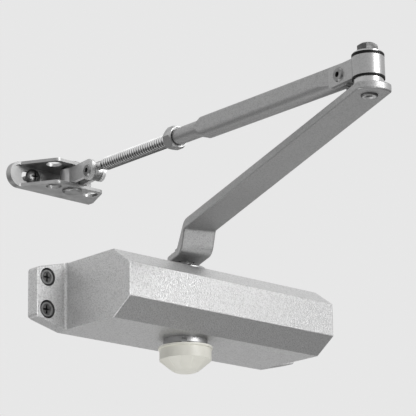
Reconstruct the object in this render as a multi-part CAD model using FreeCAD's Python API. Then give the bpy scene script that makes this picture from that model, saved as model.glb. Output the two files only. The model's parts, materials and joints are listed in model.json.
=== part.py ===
import FreeCAD, Part
import math
import os
from FreeCAD import Placement, Rotation, Vector

# Hydraulic door closer with a double arm, sizes in millimetres.
# X runs along the body, +Y goes into the door, +Z is up.
# The origin is the centre of the four-screw pattern, on the door plane.

# Closer body
BODY_LENGTH = 163.0
BODY_HEIGHT = 40.0
BODY_DEPTH = 64.0
FRONT_BEVEL_Y = 14.0
FRONT_BEVEL_Z = 10.0
BODY_EDGE_R = 0.9
EAR_THICK = 8.0
EAR_EDGE = 8.0
EAR_END_HEIGHT = 29.0
EAR_CORNER_R = 2.5
EAR_ROOT_R = 1.6
EAR_RIM_R = 0.7
SCREW_SPACING_X = 190.0
SCREW_SPACING_Z = 19.0

# Cylinder bore, piston, spring and end plug
SPINDLE_X = -11.0
BORE_R = 14.5
BORE_CLEAR = 0.05
BORE_END_GAP = 4.0
PISTON_HEAD = 10.0
PISTON_SPRING_HEAD = 12.0
SPRING_SPACE = 49.5
SPRING_WIRE_R = 2.0
SPRING_MEAN_R = 11.2
SPRING_TURNS = 6.0
PLUG_R = 17.0
PLUG_GROOVE = 2.2
PLUG_SOCKET_AF = 12.0
PLUG_SOCKET_DEPTH = 6.0
PLUG_RECESS = 0.6
PLUG_CHAMFER = 1.0

# Rack and pinion
MODULE = 1.6
TEETH = 10
PRESSURE_ANGLE = 25.0
ADDENDUM = 0.8
DEDENDUM = 1.0
BACKLASH = 0.14
GEAR_FACE = 15.0
RACK_FACE = 14.4
OPEN_ANGLE = 150.0
CLOSE_ANGLE = 25.0
WINDOW_SPARE = 0.6
FLANK_STEPS = 5

# Check valve in the piston
CHECK_BALL_R = 2.5
CHECK_PORT_R = 1.6
CHECK_BACK = 4.0
CHECK_PLAY = 0.15

# Spindle bearings
JOURNAL_R = 7.0
SPINDLE_R = 6.0
SQUARE_AF = 10.0
RUN_CLEAR = 0.05
SEAT_CLEAR = 0.02
PISTON_TO_GLAND = 0.5
BUSH_WALL = 2.0
BUSH_LENGTH = 4.4
SEAL_HEIGHT = 2.0
GLAND_R = 13.0
GLAND_LIP = 1.3
GLAND_STAND_TOP = 3.0
GLAND_STAND_BOTTOM = 4.0
GLAND_NOTCH = 3.0
GLAND_NOTCH_DEPTH = 1.4
GLAND_CHAMFER = 0.6
GLAND_NOTCHES = 4
SHOULDER_GAP = 0.3

# Speed valves in the right end face
VALVE_Y = 55.0
VALVE_Z = 5.5
VALVE_R = 3.0
VALVE_HEAD = 10.0
VALVE_STEM_R = 1.9
VALVE_STEM = 9.0
VALVE_TIP = 5.0
VALVE_RECESS = 1.0
VALVE_SLOT = 1.0
VALVE_SEAL = 1.8
VALVE_CHAMFER = 0.5
PASSAGE_R = 1.25
PASSAGE_INSET = 1.9

# Spindle cap
CAP_GAP = 4.5
CAP_RIM_R = 16.0
CAP_RIM = 1.2
CAP_R = 15.3
CAP_SKIRT = 6.6
CAP_CONE = 6.8
CAP_END_R = 7.2
CAP_END_EDGE = 0.9
CAP_WALL = 1.8
CAP_BOSS_R = 8.2
CAP_FACETS = 12
CAP_TURN = -8.0
CAP_FLUTE_R = 1.5
CAP_FLUTE = 0.8
CAP_GRIP = 8.0

# Main arm, seen with the door shut
ARM_ANGLE = -23.5
ARM_LENGTH = 280.5
ARM_FOOT_GAP = 6.5
ARM_FOOT_THICK = 4.0
ARM_FOOT_WIDTH = 20.0
ARM_RISE = 11.7
ARM_ROOT_RISE = 1.1
ARM_ROOT_THICK = 5.8
ARM_TIP_THICK = 4.2
ARM_TIP_WIDTH = 18.0
ARM_TIP_SIDE = 6.6
ARM_TIP_CROWN = 4.1
ARM_TIP_PAD = 10.0
ARM_TIP_CORNER_R = 2.5
ARM_EDGE_R = 0.8
RISER_FRONT = 22.6
RISER_FRONT_ANGLE = 62.0
RISER_BACK = 15.0
RISER_BACK_ANGLE = 46.0
FRONT_LOW_BEND_R = 9.0
FRONT_HIGH_BEND_R = 1.6
BACK_LOW_BEND_R = 7.0
BACK_HIGH_BEND_R = 10.0
ARM_SCREW_R = 3.0
ARM_SCREW_HEAD_R = 5.5
ARM_SCREW_HEAD = 3.6
ARM_SCREW_GRIP = 10.0
ARM_SCREW_EDGE = 0.8
ARM_SCREW_SOCKET_AF = 4.5
ARM_SCREW_SOCKET = 2.4
ARM_WASHER_R = 8.0
ARM_WASHER = 1.5
SQUARE_SHORT = 0.3

# Elbow
ELBOW_BOLT_R = 3.5
ELBOW_HEX_AF = 9.6
ELBOW_HEX = 4.0
ELBOW_HEX_TURN = 7.4
ELBOW_CROWN_R = 3.7
ELBOW_CROWN = 1.3
ELBOW_END_R = 4.2
ELBOW_END = 0.9
ELBOW_DIMPLE_R = 2.6
ELBOW_DIMPLE = 1.3
ELBOW_WASHER = 1.4
ELBOW_WASHER_R = 7.5
ELBOW_WASHER_RIM = 0.6
ELBOW_WASHER_TOP_R = 6.3
COLLAR_R = 7.3
COLLAR = 3.6
LOWER_WEAR_WASHER = 1.0
UPPER_WEAR_WASHER = 1.6
AXIAL_PLAY = 0.1
SOCKET_R = 8.0
SOCKET = 10.0
ELBOW_BUSH_WALL = 1.0
FORK_REACH = 15.0
FORK_EAR = 2.2
FORK_END = 7.9
FORK_EDGE_R = 1.2
TONGUE_SIDE = 0.3

# Forearm tube and adjusting rod
FOREARM_ANGLE = -8.07
FOREARM_TILT = 3.5
AXIS_RISE = 2.0
TUBE_WIDTH = 9.6
TUBE_TOP = 4.6
TUBE_TOP_R = 1.2
TUBE_DROP = 2.2
TONGUE_WIDTH = 8.2
TONGUE_END = 4.6
TONGUE_FLAT = 9.0
PINCH_RAMP = 13.0
TUBE_SHOULDER = 121.0
SHOULDER_LENGTH = 7.0
NECK_R = 4.6
NECK_END = 150.0
ROD_R = 3.85
ROD_CLEAR = 0.1
ROD_ENGAGED = 38.0
ROD_BORE_SPARE = 17.0
LOCK_NUT_AF = 11.6
LOCK_NUT = 7.0
LOCK_NUT_GAP = 0.3
LOCK_NUT_EDGE = 0.8
LOCK_NUT_LAP = 0.9
LOCK_NUT_SIDE = 0.55
LOCK_NUT_TURN = 30.0
ROD_LENGTH = 236.0
ROD_NECK = 11.0
ROD_NECK_R = 2.2
ROD_CHAMFER = 0.8
ROD_EYE_THICK = 4.6
ROD_EYE_R = 5.0
ROD_EYE_DROP = 2.2

# Rivets
RIVET_R = 2.5
RIVET_HEAD_R = 3.6
RIVET_HEAD = 0.9
RIVET_HOLLOW_R = 1.4
RIVET_HOLLOW = 3.0

# Knuckle strap and frame shoe
STRAP = 2.2
STRAP_HEIGHT = 9.4
EYE_SIDE = 0.3
KNUCKLE_REACH = 25.0
KNUCKLE_DROP = 2.0
KNUCKLE_LUG_R = 5.2
SHOE_PIN_R = 4.5
SHOE_PIN_HEAD_R = 5.7
SHOE_PIN_HEAD = 1.6
SHOE_HEIGHT = 15.0
SHOE_RISE = 0.7
SHOE_WALL = 1.8
SHOE_BASE = 2.4
SHOE_LIP = 4.2
SHOE_DEPTH = 24.0
SHOE_LENGTH = 54.0
SHOE_FRONT_LEFT = 11.5
SHOE_FRONT_RIGHT = 45.0
SHOE_CORNER_R = 3.5
SHOE_HOLE_PITCH = 13.5
SHOE_PIN_ALONG = 28.0
SHOE_PIN_OUT = 16.5
SHOE_SLOT_ALONG = 9.2
SHOE_SLOT = 14.6
SHOE_SLOT_WIDTH = 6.6
SHOE_SCREW_ALONG = 9.6
SHOE_SCREW_PITCH = 36.0
SHOE_SCREW_R = 2.4
SHOE_SCREW_NECK_R = 1.9
SHOE_SCREW_HEAD_R = 4.8
SHOE_SCREW_HEAD = 3.0
SHOE_SCREW_CROWN_R = 3.0
SHOE_SCREW_RIM = 1.2
SHOE_SCREW_GRIP = 9.0

# Door screws
SCREW_R = 2.5
SCREW_NECK_R = 2.0
SCREW_HEAD_R = 4.5
SCREW_HEAD_LAND = 0.3
SCREW_SUNK = 0.5
SCREW_GRIP = 5.0
SCREW_CHAMFER = 0.6
SCREW_CLEAR = 0.15

# How far a cutting solid runs past the face that it opens
OVERCUT = 1.0

# How near two places count as the same
NEAR = 0.01

HEX_SIDES = 6

# Sizes that follow from the ones above
half_length = BODY_LENGTH / 2
half_height = BODY_HEIGHT / 2
ear_end = SCREW_SPACING_X / 2 + EAR_EDGE
bore_y = -BODY_DEPTH / 2
pitch_r = MODULE * TEETH / 2
tip_r = pitch_r + ADDENDUM * MODULE
root_r = pitch_r - DEDENDUM * MODULE
rack_root = pitch_r + DEDENDUM * MODULE
rack_tip = pitch_r - ADDENDUM * MODULE
tooth_pitch = math.pi * MODULE
piston_r = BORE_R - BORE_CLEAR
open_travel = math.radians(OPEN_ANGLE) * pitch_r
close_travel = math.radians(CLOSE_ANGLE) * pitch_r
window_left = SPINDLE_X - tip_r - open_travel - WINDOW_SPARE
window_right = SPINDLE_X + tip_r + close_travel + WINDOW_SPARE
piston_left = window_left - PISTON_HEAD
piston_right = window_right + PISTON_SPRING_HEAD
bore_left = piston_left - close_travel - BORE_END_GAP
plug_inner = piston_right + SPRING_SPACE
gland_inner = piston_r + PISTON_TO_GLAND
journal_top = gland_inner + BUSH_LENGTH
seal_top = journal_top + SHOULDER_GAP + SEAL_HEIGHT
bush_r = JOURNAL_R + RUN_CLEAR + BUSH_WALL
foot_bottom = half_height + ARM_FOOT_GAP
foot_top = foot_bottom + ARM_FOOT_THICK
arm_bottom = foot_bottom + ARM_RISE
arm_top = arm_bottom + ARM_TIP_THICK
collar_top = arm_top + COLLAR
socket_bottom = collar_top + LOWER_WEAR_WASHER
socket_top = socket_bottom + SOCKET
elbow_washer_bottom = socket_top + UPPER_WEAR_WASHER + AXIAL_PLAY
elbow_head_bottom = elbow_washer_bottom + ELBOW_WASHER
fork_z = (socket_bottom + socket_top) / 2
fork_gap = TONGUE_WIDTH + 2 * TONGUE_SIDE
fork_width = fork_gap + 2 * FORK_EAR
rivet_hole_r = RIVET_R + SEAT_CLEAR
rivet_bearing_r = RIVET_R + RUN_CLEAR
cap_top = -half_height - CAP_GAP
square_bottom = cap_top - CAP_GRIP
eye_gap = ROD_EYE_THICK + 2 * EYE_SIDE
strap_width = eye_gap + 2 * STRAP
strap_r = SHOE_PIN_R + RUN_CLEAR + STRAP

# Places of the arm's joints with the door shut
spindle_at = Vector(SPINDLE_X, bore_y, 0)
arm_turn = Rotation(Vector(0, 0, 1), ARM_ANGLE)
elbow_at = spindle_at + arm_turn.multVec(Vector(0, -ARM_LENGTH, 0))
fore_turn = Rotation(Vector(0, 0, 1), FOREARM_ANGLE)
fore_tilt = fore_turn.multiply(Rotation(Vector(1, 0, 0), FOREARM_TILT))
fork_at = elbow_at + fore_turn.multVec(Vector(0, FORK_REACH, 0)) + Vector(0, 0, fork_z)
axis_at = fork_at + fore_tilt.multVec(Vector(0, 0, AXIS_RISE))
rod_eye_at = axis_at + fore_tilt.multVec(Vector(0, ROD_LENGTH, -ROD_EYE_DROP))
shoe_pin_at = rod_eye_at + fore_turn.multVec(Vector(0, KNUCKLE_REACH, 0)) + Vector(0, 0, KNUCKLE_DROP)
shoe_at = shoe_pin_at + Vector(-SHOE_PIN_ALONG, SHOE_PIN_OUT, SHOE_RISE)


def cylinder(radius, start, end):
    way = end - start
    return Part.makeCylinder(radius, way.Length, start, way)


def upright(radius, low, high, at=Vector(0, 0, 0)):
    return cylinder(radius, Vector(at.x, at.y, low), Vector(at.x, at.y, high))


def ring(outer, inner, low, high, at=Vector(0, 0, 0)):
    return upright(outer, low, high, at).cut(upright(inner, low, high, at))


def block(low, high):
    size = high - low
    return Part.makeBox(size.x, size.y, size.z, low)


def prism(points, way):
    return Part.Face(Part.makePolygon(points + points[:1])).extrude(way)


def edges_prism(edges, way):
    return Part.Face(Part.Wire(Part.__sortEdges__(edges))).extrude(way)


def line(a, b):
    return Part.makeLine(a, b)


def arc(a, middle, b):
    return Part.Arc(a, middle, b).toShape()


def regular(sides, inner_r, height):
    """Corner points of a regular polygon round Z, given the radius to its flats."""
    corner = inner_r / math.cos(math.pi / sides)
    spots = []
    for step in range(sides):
        angle = 2 * math.pi * (step + 0.5) / sides
        spots.append(Vector(corner * math.cos(angle), corner * math.sin(angle), height))
    return spots


def hexagon(across_flats, low, high):
    return prism(regular(HEX_SIDES, across_flats / 2, low), Vector(0, 0, high - low))


def hex_corner_r(across_flats):
    return across_flats / 2 / math.cos(math.pi / HEX_SIDES)


def square_bar(across_flats, low, high):
    half = across_flats / 2
    return block(Vector(-half, -half, low), Vector(half, half, high))


def turned(points):
    """Solid of revolution about Z from (radius, height) points."""
    spots = [Vector(radius, 0, height) for radius, height in points]
    face = Part.Face(Part.makePolygon(spots + spots[:1]))
    return face.revolve(Vector(0, 0, 0), Vector(0, 0, 1), 360)


def placed(shape, at, rotation):
    moved = shape.copy()
    moved.Placement = Placement(at, rotation).multiply(moved.Placement)
    return moved


def save(name, shape):
    shape.exportStep("parts/" + name + ".step")


def ear_outline(depth):
    """Outline of both ears as one bar, tapering towards its rounded ends."""
    end_half = EAR_END_HEIGHT / 2
    points = []
    for x, z in ((-ear_end, end_half), (-half_length, half_height), (half_length, half_height),
                 (ear_end, end_half), (ear_end, -end_half), (half_length, -half_height),
                 (-half_length, -half_height), (-ear_end, -end_half)):
        points.append(Vector(x, 0, z))
    bar = prism(points, Vector(0, -depth, 0))
    corners = []
    for edge in bar.Edges:
        middle = edge.CenterOfMass
        if abs(abs(middle.x) - ear_end) < NEAR and abs(abs(middle.z) - end_half) < NEAR:
            corners.append(edge)
    return bar.makeFillet(EAR_CORNER_R, corners)


def ear_bar():
    """The ears with their front rim rounded over."""
    bar = ear_outline(EAR_THICK)
    rim = [edge for edge in bar.Edges if abs(edge.BoundBox.YMax + EAR_THICK) < NEAR]
    return bar.makeFillet(EAR_RIM_R, rim)


def screw_places():
    places = []
    for side in (-1, 1):
        for level in (-1, 1):
            places.append((side * SCREW_SPACING_X / 2, level * SCREW_SPACING_Z / 2))
    return places


def body_prism():
    """Extruded section with a bevelled front and softened edges."""
    front = -BODY_DEPTH
    shelf = front + FRONT_BEVEL_Y
    nose = half_height - FRONT_BEVEL_Z
    points = []
    for y, z in ((0, half_height), (shelf, half_height), (front, nose),
                 (front, -nose), (shelf, -half_height), (0, -half_height)):
        points.append(Vector(-half_length, y, z))
    solid = prism(points, Vector(BODY_LENGTH, 0, 0))
    soft = [edge for edge in solid.Edges if edge.CenterOfMass.y < -NEAR]
    return solid.makeFillet(BODY_EDGE_R, soft)


def ear_root(side):
    """Concave fillet where an ear meets the end face of the body."""
    start = side * half_length
    reach = start + side * EAR_ROOT_R
    face = -EAR_THICK
    lift = face - EAR_ROOT_R
    middle = EAR_ROOT_R * (1 - math.sqrt(0.5))
    low = -half_height
    edges = [
        line(Vector(start, lift, low), Vector(start, face, low)),
        line(Vector(start, face, low), Vector(reach, face, low)),
        arc(Vector(reach, face, low), Vector(start + side * middle, face - middle, low),
            Vector(start, lift, low)),
    ]
    return edges_prism(edges, Vector(0, 0, BODY_HEIGHT)).common(ear_outline(EAR_THICK + EAR_ROOT_R))


def valve_hole(level):
    """Stepped hole for a speed valve, with its passage to the cylinder."""
    z = level * VALVE_Z
    deep = half_length - VALVE_RECESS - VALVE_HEAD - VALVE_STEM - VALVE_TIP - OVERCUT
    out = half_length + OVERCUT
    hole = cylinder(VALVE_R + RUN_CLEAR, Vector(deep, -VALVE_Y, z), Vector(out, -VALVE_Y, z))
    passage_x = deep + PASSAGE_INSET
    passage = cylinder(PASSAGE_R, Vector(passage_x, -VALVE_Y, z), Vector(passage_x, bore_y, z))
    return hole.fuse(passage)


def body_casting():
    body = body_prism().fuse(ear_bar())
    for side in (-1, 1):
        body = body.fuse(ear_root(side))
    body = body.removeSplitter()
    open_end = Vector(half_length + OVERCUT, bore_y, 0)
    bore = cylinder(BORE_R, Vector(bore_left, bore_y, 0), open_end)
    plug_seat = cylinder(PLUG_R + SEAT_CLEAR, Vector(plug_inner, bore_y, 0), open_end)
    through = half_height + OVERCUT
    gland_hole = upright(GLAND_R + SEAT_CLEAR, -through, through, spindle_at)
    cuts = [bore, plug_seat, gland_hole, valve_hole(1), valve_hole(-1)]
    hole_r = SCREW_R + SCREW_CLEAR
    sink_r = SCREW_HEAD_R + SCREW_CLEAR
    front = -EAR_THICK - OVERCUT
    mouth_r = sink_r + screw_rim() - front
    hole = turned([(0, OVERCUT), (hole_r, OVERCUT), (hole_r, screw_rim() + sink_r - hole_r),
                   (mouth_r, front), (0, front)])
    for x, z in screw_places():
        cuts.append(placed(hole, Vector(x, 0, z), Rotation(Vector(1, 0, 0), -90)))
    for cut in cuts:
        body = body.cut(cut)
    return body


def screw_rim():
    """Depth, from the door plane, where the screw's cone starts."""
    return -EAR_THICK + SCREW_SUNK + SCREW_HEAD_LAND


def door_screws():
    """Countersunk screws: plain neck inside the ear, thread from the door plane on."""
    top = -EAR_THICK + SCREW_SUNK
    cone_end = screw_rim() + SCREW_HEAD_R - SCREW_NECK_R
    screw = turned([(0, top), (SCREW_HEAD_R, top), (SCREW_HEAD_R, screw_rim()), (SCREW_NECK_R, cone_end),
                    (SCREW_NECK_R, 0), (SCREW_R, 0), (SCREW_R, SCREW_GRIP - SCREW_CHAMFER),
                    (SCREW_R - SCREW_CHAMFER, SCREW_GRIP), (0, SCREW_GRIP)])
    screws = []
    for x, z in screw_places():
        screws.append(placed(screw, Vector(x, 0, z), Rotation(Vector(1, 0, 0), -90)))
    return Part.makeCompound(screws)


def along_bore(shape):
    """Turns a solid built on Z so that its axis lies on the cylinder bore."""
    return placed(shape, Vector(0, bore_y, 0), Rotation(Vector(0, 1, 0), 90))


def end_plug():
    outer = half_length - PLUG_RECESS
    groove = plug_inner + PLUG_GROOVE
    groove_end = groove + PLUG_GROOVE
    groove_r = PLUG_R - PLUG_GROOVE
    plug = turned([(0, plug_inner), (PLUG_R, plug_inner), (PLUG_R, groove), (groove_r, groove),
                   (groove_r, groove_end), (PLUG_R, groove_end), (PLUG_R, outer - PLUG_CHAMFER),
                   (PLUG_R - PLUG_CHAMFER, outer), (0, outer)])
    socket = hexagon(PLUG_SOCKET_AF, outer - PLUG_SOCKET_DEPTH, outer + OVERCUT)
    return along_bore(plug.cut(socket))


def end_plug_seal():
    section = PLUG_GROOVE / 2
    seal = Part.makeTorus(PLUG_R - section - SEAT_CLEAR, section - SEAT_CLEAR)
    seal.translate(Vector(0, 0, plug_inner + PLUG_GROOVE + section))
    return along_bore(seal)


def main_spring():
    """Round-wire compression spring with both ends ground flat."""
    helix = Part.makeHelix(SPRING_SPACE / SPRING_TURNS, SPRING_SPACE, SPRING_MEAN_R)
    wire = Part.Wire(Part.makeCircle(SPRING_WIRE_R, Vector(SPRING_MEAN_R, 0, 0), Vector(0, 1, 0)))
    coil = Part.Wire(helix).makePipeShell([wire], True, True)
    spring = coil.common(upright(BORE_R, 0, SPRING_SPACE))
    spring.translate(Vector(0, 0, piston_right))
    return along_bore(spring)


def rack_tooth(x):
    """One straight rack tooth, pointing from the door side to the pinion."""
    slope = math.tan(math.radians(PRESSURE_ANGLE))
    half = tooth_pitch / 4 - BACKLASH / 2
    tip_half = half - (pitch_r - rack_tip) * slope
    root_half = half + (rack_root - pitch_r) * slope
    sunk = rack_root + OVERCUT / 2
    low = -RACK_FACE / 2
    points = []
    for dx, y in ((-root_half, sunk), (-root_half, rack_root), (-tip_half, rack_tip),
                  (tip_half, rack_tip), (root_half, rack_root), (root_half, sunk)):
        points.append(Vector(x + dx, bore_y + y, low))
    return prism(points, Vector(0, 0, RACK_FACE))


def check_valve_axis():
    return bore_y - piston_r / 2 - CHECK_PORT_R


def check_valve_pocket():
    """Drilled pocket with a conical seat and a port into the window."""
    pocket_r = CHECK_BALL_R + CHECK_PLAY
    cone = CHECK_BACK + pocket_r * math.sqrt(2) - pocket_r
    out = PISTON_HEAD + OVERCUT
    pocket = turned([(0, -OVERCUT), (pocket_r, -OVERCUT), (pocket_r, cone),
                     (CHECK_PORT_R, cone + pocket_r - CHECK_PORT_R), (CHECK_PORT_R, out), (0, out)])
    return placed(pocket, Vector(piston_left, check_valve_axis(), 0), Rotation(Vector(0, 1, 0), 90))


def piston():
    """Hollow-waisted piston with the rack inside its window."""
    bar = cylinder(piston_r, Vector(piston_left, bore_y, 0), Vector(piston_right, bore_y, 0))
    window = block(Vector(window_left, bore_y - rack_root, -BORE_R),
                   Vector(window_right, bore_y + rack_root, BORE_R))
    bar = bar.cut(window)
    count = int((window_right - window_left) / tooth_pitch) + 2
    teeth = []
    for step in range(-count, count):
        x = SPINDLE_X + (step + 0.5) * tooth_pitch
        if window_left + tooth_pitch / 2 < x < window_right - tooth_pitch / 2:
            teeth.append(rack_tooth(x))
    for tooth in teeth:
        bar = bar.fuse(tooth)
    return bar.cut(check_valve_pocket())


def check_valve_ball():
    return Part.makeSphere(CHECK_BALL_R, Vector(piston_left + CHECK_BACK, check_valve_axis(), 0))


def check_valve_retainer():
    """Small pressed ring that keeps the ball in its pocket."""
    y = check_valve_axis()
    depth = CHECK_BACK - CHECK_BALL_R
    outer = cylinder(CHECK_BALL_R + CHECK_PLAY - SEAT_CLEAR, Vector(piston_left, y, 0),
                     Vector(piston_left + depth, y, 0))
    inner = cylinder(CHECK_PORT_R, Vector(piston_left, y, 0), Vector(piston_left + depth, y, 0))
    return outer.cut(inner)


def tooth_flank(side):
    """Involute from the base circle to the tip, for a tooth pointing along +Y."""
    pressure = math.radians(PRESSURE_ANGLE)
    base_r = pitch_r * math.cos(pressure)
    half_angle = (tooth_pitch / 2 - BACKLASH) / 2 / pitch_r
    start = half_angle + math.tan(pressure) - pressure
    spots = []
    for step in range(FLANK_STEPS + 1):
        radius = base_r + (tip_r - base_r) * step / FLANK_STEPS
        turn = math.acos(min(1.0, base_r / radius))
        angle = side * (start - (math.tan(turn) - turn))
        spots.append(Vector(radius * math.sin(angle), radius * math.cos(angle), -GEAR_FACE / 2))
    return spots


def pinion_tooth():
    right = tooth_flank(1)
    left = tooth_flank(-1)
    sink = root_r - OVERCUT
    low = -GEAR_FACE / 2
    right_foot = Vector(right[0].x * sink / right[0].Length, sink, low)
    left_foot = Vector(left[0].x * sink / left[0].Length, sink, low)
    right_curve = Part.BSplineCurve()
    right_curve.interpolate(right)
    left_curve = Part.BSplineCurve()
    left_curve.interpolate(left)
    edges = [
        line(right_foot, right[0]),
        right_curve.toShape(),
        arc(right[-1], Vector(0, tip_r, low), left[-1]),
        left_curve.toShape(),
        line(left[0], left_foot),
        line(left_foot, right_foot),
    ]
    return edges_prism(edges, Vector(0, 0, GEAR_FACE))


def rounded_square(low, high):
    """Square end of the spindle, turned down at its corners."""
    return square_bar(SQUARE_AF, low, high).common(upright(SPINDLE_R, low, high))


def pinion_shaft():
    """Spindle with its pinion, two journals and a square at each end."""
    shaft = turned([(0, -journal_top), (JOURNAL_R, -journal_top), (JOURNAL_R, -GEAR_FACE / 2),
                    (root_r, -GEAR_FACE / 2), (root_r, GEAR_FACE / 2), (JOURNAL_R, GEAR_FACE / 2),
                    (JOURNAL_R, journal_top), (0, journal_top)])
    tooth = pinion_tooth()
    for step in range(TEETH):
        turn = Rotation(Vector(0, 0, 1), 360 * step / TEETH)
        shaft = shaft.fuse(placed(tooth, Vector(0, 0, 0), turn))
    square_top = foot_top - SQUARE_SHORT
    shaft = shaft.fuse(upright(SPINDLE_R, cap_top, -journal_top + OVERCUT))
    shaft = shaft.fuse(upright(SPINDLE_R, journal_top - OVERCUT, foot_bottom))
    top_square = rounded_square(foot_bottom - OVERCUT, square_top)
    bottom_square = rounded_square(square_bottom, cap_top + OVERCUT)
    shaft = shaft.fuse(placed(top_square, Vector(0, 0, 0), arm_turn)).fuse(bottom_square)
    tapped = upright(ARM_SCREW_R + SEAT_CLEAR, square_top - ARM_SCREW_GRIP - OVERCUT, square_top)
    return placed(shaft.cut(tapped), spindle_at, Rotation())


def gland(sign, stand):
    """Screwed bearing ring with spanner notches, holding a bush and a seal."""
    outer = half_height + stand
    mouth_r = SPINDLE_R + SHOULDER_GAP
    seat_r = bush_r + SEAT_CLEAR
    body = turned([(mouth_r, outer), (GLAND_R - GLAND_CHAMFER, outer), (GLAND_R, outer - GLAND_CHAMFER),
                   (GLAND_R, gland_inner), (seat_r, gland_inner), (seat_r, seal_top), (mouth_r, seal_top)])
    notch = block(Vector(GLAND_R - GLAND_NOTCH_DEPTH, -GLAND_NOTCH / 2, half_height + GLAND_LIP),
                  Vector(GLAND_R + OVERCUT, GLAND_NOTCH / 2, outer + OVERCUT))
    for step in range(GLAND_NOTCHES):
        turn = Rotation(Vector(0, 0, 1), 360 * (step + 0.5) / GLAND_NOTCHES)
        body = body.cut(placed(notch, Vector(0, 0, 0), turn))
    return flipped(body, sign)


def flipped(shape, sign):
    """Upper or lower twin of a bearing piece, on the spindle axis."""
    turn = Rotation() if sign > 0 else Rotation(Vector(1, 0, 0), 180)
    return placed(shape, spindle_at, turn)


def bearing_bush(sign):
    return flipped(ring(bush_r, JOURNAL_R + RUN_CLEAR, gland_inner, journal_top), sign)


def spindle_seal(sign):
    low = seal_top - SEAL_HEIGHT
    return flipped(ring(bush_r, SPINDLE_R + RUN_CLEAR, low, seal_top - SEAT_CLEAR), sign)


def speed_valve(level):
    """Slotted needle valve that throttles the oil."""
    head = half_length - VALVE_RECESS
    stem = head - VALVE_HEAD
    cone = stem - VALVE_STEM
    valve = turned([(0, cone - VALVE_TIP), (VALVE_STEM_R, cone), (VALVE_STEM_R, stem), (VALVE_R, stem),
                    (VALVE_R, head - VALVE_CHAMFER), (VALVE_R - VALVE_CHAMFER, head), (0, head)])
    slot = block(Vector(-VALVE_SLOT / 2, -VALVE_R, head - VALVE_SLOT),
                 Vector(VALVE_SLOT / 2, VALVE_R, head + OVERCUT))
    return placed(valve.cut(slot), Vector(0, -VALVE_Y, level * VALVE_Z), Rotation(Vector(0, 1, 0), 90))


def valve_seal(level):
    high = half_length - VALVE_RECESS - VALVE_HEAD - SEAT_CLEAR
    seal = ring(VALVE_R, VALVE_STEM_R + SEAT_CLEAR, high - VALVE_SEAL, high)
    return placed(seal, Vector(0, -VALVE_Y, level * VALVE_Z), Rotation(Vector(0, 1, 0), 90))


def facet_wire(radius, height):
    spots = regular(CAP_FACETS, radius, height)
    return Part.makePolygon(spots + spots[:1])


def cap_flutes(top, bottom):
    """Flutes along the edges between the facets, deeper towards the end of the cap."""
    highs = regular(CAP_FACETS, CAP_R + CAP_FLUTE_R, top)
    lows = regular(CAP_FACETS, CAP_END_R + CAP_FLUTE_R - CAP_FLUTE, bottom)
    return Part.makeCompound([cylinder(CAP_FLUTE_R, high, low) for high, low in zip(highs, lows)])


def spindle_cap():
    """Moulded cap with a thin rim and a faceted, fluted end, pushed on the lower square."""
    skirt_end = cap_top - CAP_RIM - CAP_SKIRT
    cone_end = skirt_end - CAP_CONE
    skirt = turned([(0, cap_top), (CAP_RIM_R, cap_top), (CAP_RIM_R, cap_top - CAP_RIM),
                    (CAP_R, cap_top - CAP_RIM), (CAP_R, skirt_end), (0, skirt_end)])
    cone = Part.makeLoft([facet_wire(CAP_R, skirt_end), facet_wire(CAP_END_R, cone_end)], True, True)
    blank = turned([(0, skirt_end), (CAP_R, skirt_end), (CAP_END_R + CAP_END_EDGE, cone_end + CAP_END_EDGE),
                    (CAP_END_R - CAP_END_EDGE, cone_end), (0, cone_end)])
    cone = cone.common(blank).cut(cap_flutes(skirt_end, cone_end - CAP_FLUTE))
    cone = placed(cone, Vector(0, 0, 0), Rotation(Vector(0, 0, 1), CAP_TURN))
    hollow = upright(CAP_R - CAP_WALL, skirt_end, cap_top).cut(upright(CAP_BOSS_R, skirt_end, cap_top))
    relief = upright(CAP_BOSS_R, cap_top - SHOULDER_GAP, cap_top)
    socket = square_bar(SQUARE_AF + 2 * SEAT_CLEAR, square_bottom, cap_top)
    return placed(skirt.fuse(cone).cut(hollow).cut(relief).cut(socket), spindle_at, Rotation())


def arm_side():
    """Side profile of the forged bar, cranked up from its foot, as wide as the foot."""
    end = ARM_LENGTH + ARM_TIP_SIDE + ARM_TIP_CROWN + OVERCUT
    pad = ARM_LENGTH - ARM_TIP_PAD
    root_bottom = arm_bottom + ARM_ROOT_RISE
    root_top = root_bottom + ARM_ROOT_THICK
    front_high = RISER_FRONT + (root_bottom - foot_bottom) / math.tan(math.radians(RISER_FRONT_ANGLE))
    back_high = RISER_BACK + (root_top - foot_top) / math.tan(math.radians(RISER_BACK_ANGLE))
    bends = {
        (RISER_FRONT, foot_bottom): FRONT_LOW_BEND_R,
        (front_high, root_bottom): FRONT_HIGH_BEND_R,
        (back_high, root_top): BACK_HIGH_BEND_R,
        (RISER_BACK, foot_top): BACK_LOW_BEND_R,
    }
    corners = [(-ARM_FOOT_WIDTH, foot_bottom), (RISER_FRONT, foot_bottom), (front_high, root_bottom),
               (pad, arm_bottom), (end, arm_bottom), (end, arm_top), (pad, arm_top),
               (back_high, root_top), (RISER_BACK, foot_top), (-ARM_FOOT_WIDTH, foot_top)]
    points = [Vector(-ARM_FOOT_WIDTH, -along, height) for along, height in corners]
    side = prism(points, Vector(2 * ARM_FOOT_WIDTH, 0, 0))
    for (along, height), radius in bends.items():
        middle = Vector(0, -along, height)
        edge = [e for e in side.Edges if (e.CenterOfMass - middle).Length < NEAR]
        side = side.makeFillet(radius, edge)
    return side


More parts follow.
